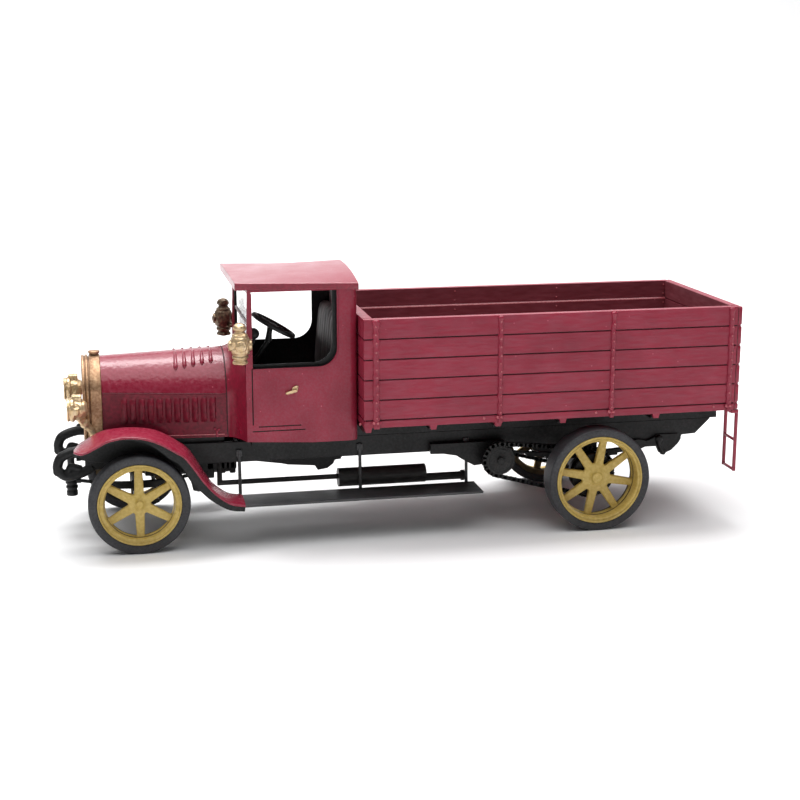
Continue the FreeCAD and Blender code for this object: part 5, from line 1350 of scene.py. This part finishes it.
class LORRY_OT_lamps(bpy.types.Operator):
    """Make the brass headlamps and side lamps"""
    bl_idname = "lorry.lamps"
    bl_label = "Brass lamps"

    def execute(self, context):
        low, high = millimetres("side_lamp_left")
        for side, sign in SIDES:
            x, y, z = high.x - 1.03, high.y - 1.1, low.z + (0.26 if sign > 0 else 0.12)
            bm = lathe(bmesh.new(), SIDE_LAMP, (x, y, z), "Z", 48)
            for axis, way, reach in (("X", 1, 1.16), ("X", -1, 1.16), ("Y", 1, 1.05)):
                profile = [(0, 0.2), (0.5, 0.2), (0.52, reach - 0.12), (0.46, reach - 0.04), (0.36, reach - 0.06),
                           (0.3, reach - 0.02), (0.15, reach + 0.03), (0, reach + 0.05)]
                lathe(bm, [(radius, way * place) for radius, place in profile], (x, y, z + 1.82), axis, 28)
            block(bm, (x - 0.9, 7.1, z + 0.95), (x - 0.5, y, z + 1.25), 0.05)
            # the far side lamp gets the brass in painted shade
            cast("side_lamp_%s_brass" % side, sided(bm, sign), "brass" if sign > 0 else "brass_dark",
                 ["side_lamp_" + side], 0.045, 1, lumps=0.16)
        front = millimetres("headlamp_left")[1].x
        for side, sign in SIDES:
            x, y, z = front - (0.22 if sign > 0 else -0.12), 4.95, 13.95
            bm = lathe(bmesh.new(), HEADLAMP, (x, y, z), "X", 48)
            block(bm, (x - 1.45, y - 0.45, z + 0.8), (x - 0.5, y + 0.45, z + 1.45), 0.12)
            block(bm, (x - 1.15, y + 0.75, z - 0.35), (x - 0.7, y + 1.22, z + 0.35), 0.14)
            beam(bm, (x - 1.1, y - 0.2, z - 0.85), (x - 1.75, y - 0.5, z - 1.75), 0.75, 0.62, 0.1)
            tube(bm, spline([(x - 1.5, y - 0.4, z - 1.4), (x - 2.15, y - 0.55, z - 2.2), (30.2, 4.25, 10.2)], 5),
                 [0.45] * 3 + [0.36] * 3 + [0.3] * 5, 12)
            cast("headlamp_%s_brass" % side, sided(bm, sign), "brass", ["headlamp_" + side], 0.05, 1, lumps=0.16)
        return {"FINISHED"}


# radiator: heights of its shoulder and crown, and its sections as place behind or before a face, and inset
RADIATOR_SHOULDER, RADIATOR_CROWN = 15.4, 18.35
FROM_BACK = ((0, 0.12), (0.05, 0.02), (0.12, 0.0), (1.02, 0.0), (1.08, 0.05), (1.1, 0.2), (1.2, 0.2), (1.22, 0.06),
             (1.27, 0.02), (1.4, 0.02), (1.45, 0.06), (1.47, 0.16), (1.53, 0.16), (1.56, 0.08), (1.62, 0.05))
FROM_FRONT = ((-0.08, 0.05), (0, 0.14), (0, 0.5), (-0.1, 0.62), (-0.9, 0.66))
CORE_TUBES, CORE_FINS = 24, 36


class LORRY_OT_radiator(bpy.types.Operator):
    """Make the radiator's shell with its two front rings, its cap and its core"""
    bl_idname = "lorry.radiator"
    bl_label = "Radiator"

    def execute(self, context):
        low, high = millimetres("radiator_shell")
        back, half, foot, shoulder, crown = low.x, high.y, low.z, RADIATOR_SHOULDER, RADIATOR_CROWN
        sections = [(back + x, inset) for x, inset in FROM_BACK] + [(high.x + x, inset) for x, inset in FROM_FRONT]
        bm = skin(bmesh.new(), [self.row(x, half - inset, foot + inset, shoulder, crown - inset)
                                for x, inset in sections])
        lathe(bm, [(0, 0), (0.42, 0), (0.4, 0.25), (0.55, 0.27), (0.58, 0.45), (0.5, 0.5), (0.2, 0.52), (0, 0.52)],
              (back + 0.55, 0, crown - 0.1), "Z", 20)
        block(bm, (back + 0.1, -0.3, crown - 0.1), (back + 1.0, 0.3, crown + 0.22), 0.06)
        piece("radiator_surround", bm, "radiator_brass", ["radiator_shell"], 40.0)
        self.core(back + 0.95, half - 0.68, foot + 0.72, shoulder, crown - 0.72)
        return {"FINISHED"}

    def row(self, x, half, foot, shoulder, crown):
        """An arched section with rounded feet."""
        turn = 0.35
        base = [(x, half - turn, foot), (x, half - turn * 0.3, foot + turn * 0.3), (x, half, foot + turn)]
        return base + arch_row(x, half, foot, shoulder, crown, 32)[1:-1] + far_side(base)

    def core(self, x, half, foot, shoulder, crown):
        """A plate crossed by thin upright tubes and level fins, kept inside the arch."""
        bm = skin(bmesh.new(), [arch_row(x + out, half, foot, shoulder, crown, 24) for out in (0, 0.3)])
        radius = arch_radius(half, crown - shoulder)
        reach = half * 0.97
        for i in range(CORE_TUBES):
            y = (2 * i + 1 - CORE_TUBES) / CORE_TUBES * reach
            top = crown - radius + math.sqrt(max(0.0, radius * radius - y * y)) - 0.05
            block(bm, (x + 0.28, y - 0.06, foot + 0.02), (x + 0.55, y + 0.06, top))
        for i in range(CORE_FINS):
            z = foot + 0.1 + (crown - foot - 0.2) * i / CORE_FINS
            wide = reach
            if z > shoulder:
                wide = min(reach, math.sqrt(max(0.0, radius ** 2 - (z - crown + radius) ** 2)) - 0.05)
            if wide > 0.2:
                block(bm, (x + 0.28, -wide, z - 0.025), (x + 0.48, wide, z + 0.025))
        piece("radiator_matrix", bm, "radiator_core", ["radiator_core"], weighted=False)


class LORRY_OT_ladder(bpy.types.Operator):
    """Make the small ladder under the bed's rear left corner"""
    bl_idname = "lorry.ladder"
    bl_label = "Ladder"

    def execute(self, context):
        low, high = millimetres("ladder")
        x = low.x + 0.18
        rails = (low.y + 0.14, high.y - 0.14)
        bm = bmesh.new()
        for y in rails:
            beam(bm, (x, y, low.z), (x, y, high.z), 0.28, 0.32, 0.05, (1, 0, 0))
            beam(bm, (x - 0.1, y, high.z - 0.16), (high.x, y, high.z - 0.16), 0.26, 0.3, 0.05)
            block(bm, (x - 0.1, y - 0.3, high.z - 0.34), (x + 0.7, y + 0.3, high.z - 0.02), 0.06)
        for z in (low.z + 0.14, low.z + 3.3):
            beam(bm, (x, rails[0], z), (x, rails[1], z), 0.26, 0.24, 0.05)
        piece("ladder_bars", bm, "red_paint", ["ladder"], 50.0)
        return {"FINISHED"}


# strength of the world as a light, which the camera sees as white; place, aim, power and width of each light panel
WORLD_LIGHT = 0.1
PANELS = {
    "sky_panel": ((0.02, -0.02, 0.46), (0.0, 0.0, 0.0), 3.65, 0.7),
    "back_panel": ((0.0, -0.25, 0.75), (0.0, -0.8, 0.1), 7.5, 0.5),
}
# the camera: place in millimetres, turn and tilt in radians, focal length in pixels of a picture so many wide
CAMERA = dict(place=(30.795, 150.198, 47.291), yaw=0.208832, pitch=0.224491, focal=1508.434, width=800)
SENSOR = 36.0
# the floor in millimetres: half its width, radius of the bend behind, where it begins, and height
SWEEP = dict(reach=550.0, bend=300.0, behind=-500.0, height=500.0)


class LORRY_OT_stage(bpy.types.Operator):
    """Set the pale floor, the soft lights and the camera"""
    bl_idname = "lorry.stage"
    bl_label = "Stage, lights and camera"

    def execute(self, context):
        scene = context.scene
        self.sweep()
        scene.world = bpy.data.worlds.new("soft_white")
        scene.world.use_nodes = True
        tree = Tree(scene.world.node_tree)
        direct = tree.add("ShaderNodeLightPath").outputs["Is Camera Ray"]
        tree.put(tree.nodes["Background"], {"Color": (1.0, 1.0, 1.0, 1.0),
                                            "Strength": tree.span(direct, 0.0, 1.0, WORLD_LIGHT, 1.0)})
        for name, (place, aim, power, width) in PANELS.items():
            light = bpy.data.lights.new(name, "AREA")
            light.energy = power
            light.size = width
            lamp = placed(name, light)
            lamp.location = place
            lamp.rotation_euler = (Vector(aim) - Vector(place)).to_track_quat("-Z", "Y").to_euler()
        self.camera(scene)
        scene.view_settings.view_transform = "Standard"
        return {"FINISHED"}

    def sweep(self):
        """A pale sheet that lies under the lorry and curves up behind it."""
        material, tree, shader = new_material("pale_floor")
        colour = tuple(paint().floor)
        cloud = tree.span(tree.noise(60.0, 2.0), 0.3, 0.7)
        tree.put(shader, {"Base Color": tree.mix(cloud, colour, tuple(c * 0.985 for c in colour)),
                          "Roughness": 0.7, "Specular IOR Level": 0.2})
        reach, bend, behind = SWEEP["reach"], SWEEP["bend"], SWEEP["behind"]
        line = [(reach, 0.0), *quarter(behind, bend, bend, 24), (behind - bend, SWEEP["height"])]
        bm = skin(bmesh.new(), [[(x, y, z) for x in (-reach, reach)] for y, z in line], closed=False, caps=False)
        floor = stock(bm, "floor")
        floor.data.materials.append(material)

    def camera(self, scene):
        yaw, pitch = CAMERA["yaw"], CAMERA["pitch"]
        ahead = Vector((-math.sin(yaw) * math.cos(pitch), -math.cos(yaw) * math.cos(pitch), -math.sin(pitch)))
        right = Vector((-math.cos(yaw), math.sin(yaw), 0))
        matrix = Matrix((right, right.cross(ahead), -ahead)).transposed().to_4x4()
        matrix.translation = Vector(CAMERA["place"]) * MM
        data = bpy.data.cameras.new("camera")
        data.sensor_width = SENSOR
        data.lens = CAMERA["focal"] / CAMERA["width"] * SENSOR
        data.clip_start = 0.01
        scene.camera = placed("camera", data)
        scene.camera.matrix_world = matrix


class LORRY_PT_panel(bpy.types.Panel):
    bl_idname = "LORRY_PT_panel"
    bl_label = "Lorry"
    bl_space_type = "VIEW_3D"
    bl_region_type = "UI"
    bl_category = "Lorry"

    def draw(self, context):
        for group in (context.scene.lorry_sizes, context.scene.lorry_paint):
            box = self.layout.box()
            for key in group.__annotations__:
                box.prop(group, key)
        for operator in OPERATORS:
            self.layout.operator(operator.bl_idname)


OPERATORS = (LORRY_OT_wheels, LORRY_OT_bed, LORRY_OT_bonnet, LORRY_OT_cab, LORRY_OT_fenders, LORRY_OT_chassis,
             LORRY_OT_chains, LORRY_OT_lamps, LORRY_OT_radiator, LORRY_OT_ladder, LORRY_OT_stage)
CLASSES = (LorryPaint, LorrySizes) + OPERATORS + (LORRY_PT_panel,)


def register():
    for cls in CLASSES:
        bpy.utils.register_class(cls)
    bpy.types.Scene.lorry_paint = bpy.props.PointerProperty(type=LorryPaint)
    bpy.types.Scene.lorry_sizes = bpy.props.PointerProperty(type=LorrySizes)


def unregister():
    del bpy.types.Scene.lorry_sizes
    del bpy.types.Scene.lorry_paint
    for cls in reversed(CLASSES):
        bpy.utils.unregister_class(cls)


def main():
    register()
    make_materials()
    for operator in OPERATORS:
        group, name = operator.bl_idname.split(".")
        getattr(getattr(bpy.ops, group), name)()
    bpy.context.view_layer.update()


if __name__ == "__main__":
    main()
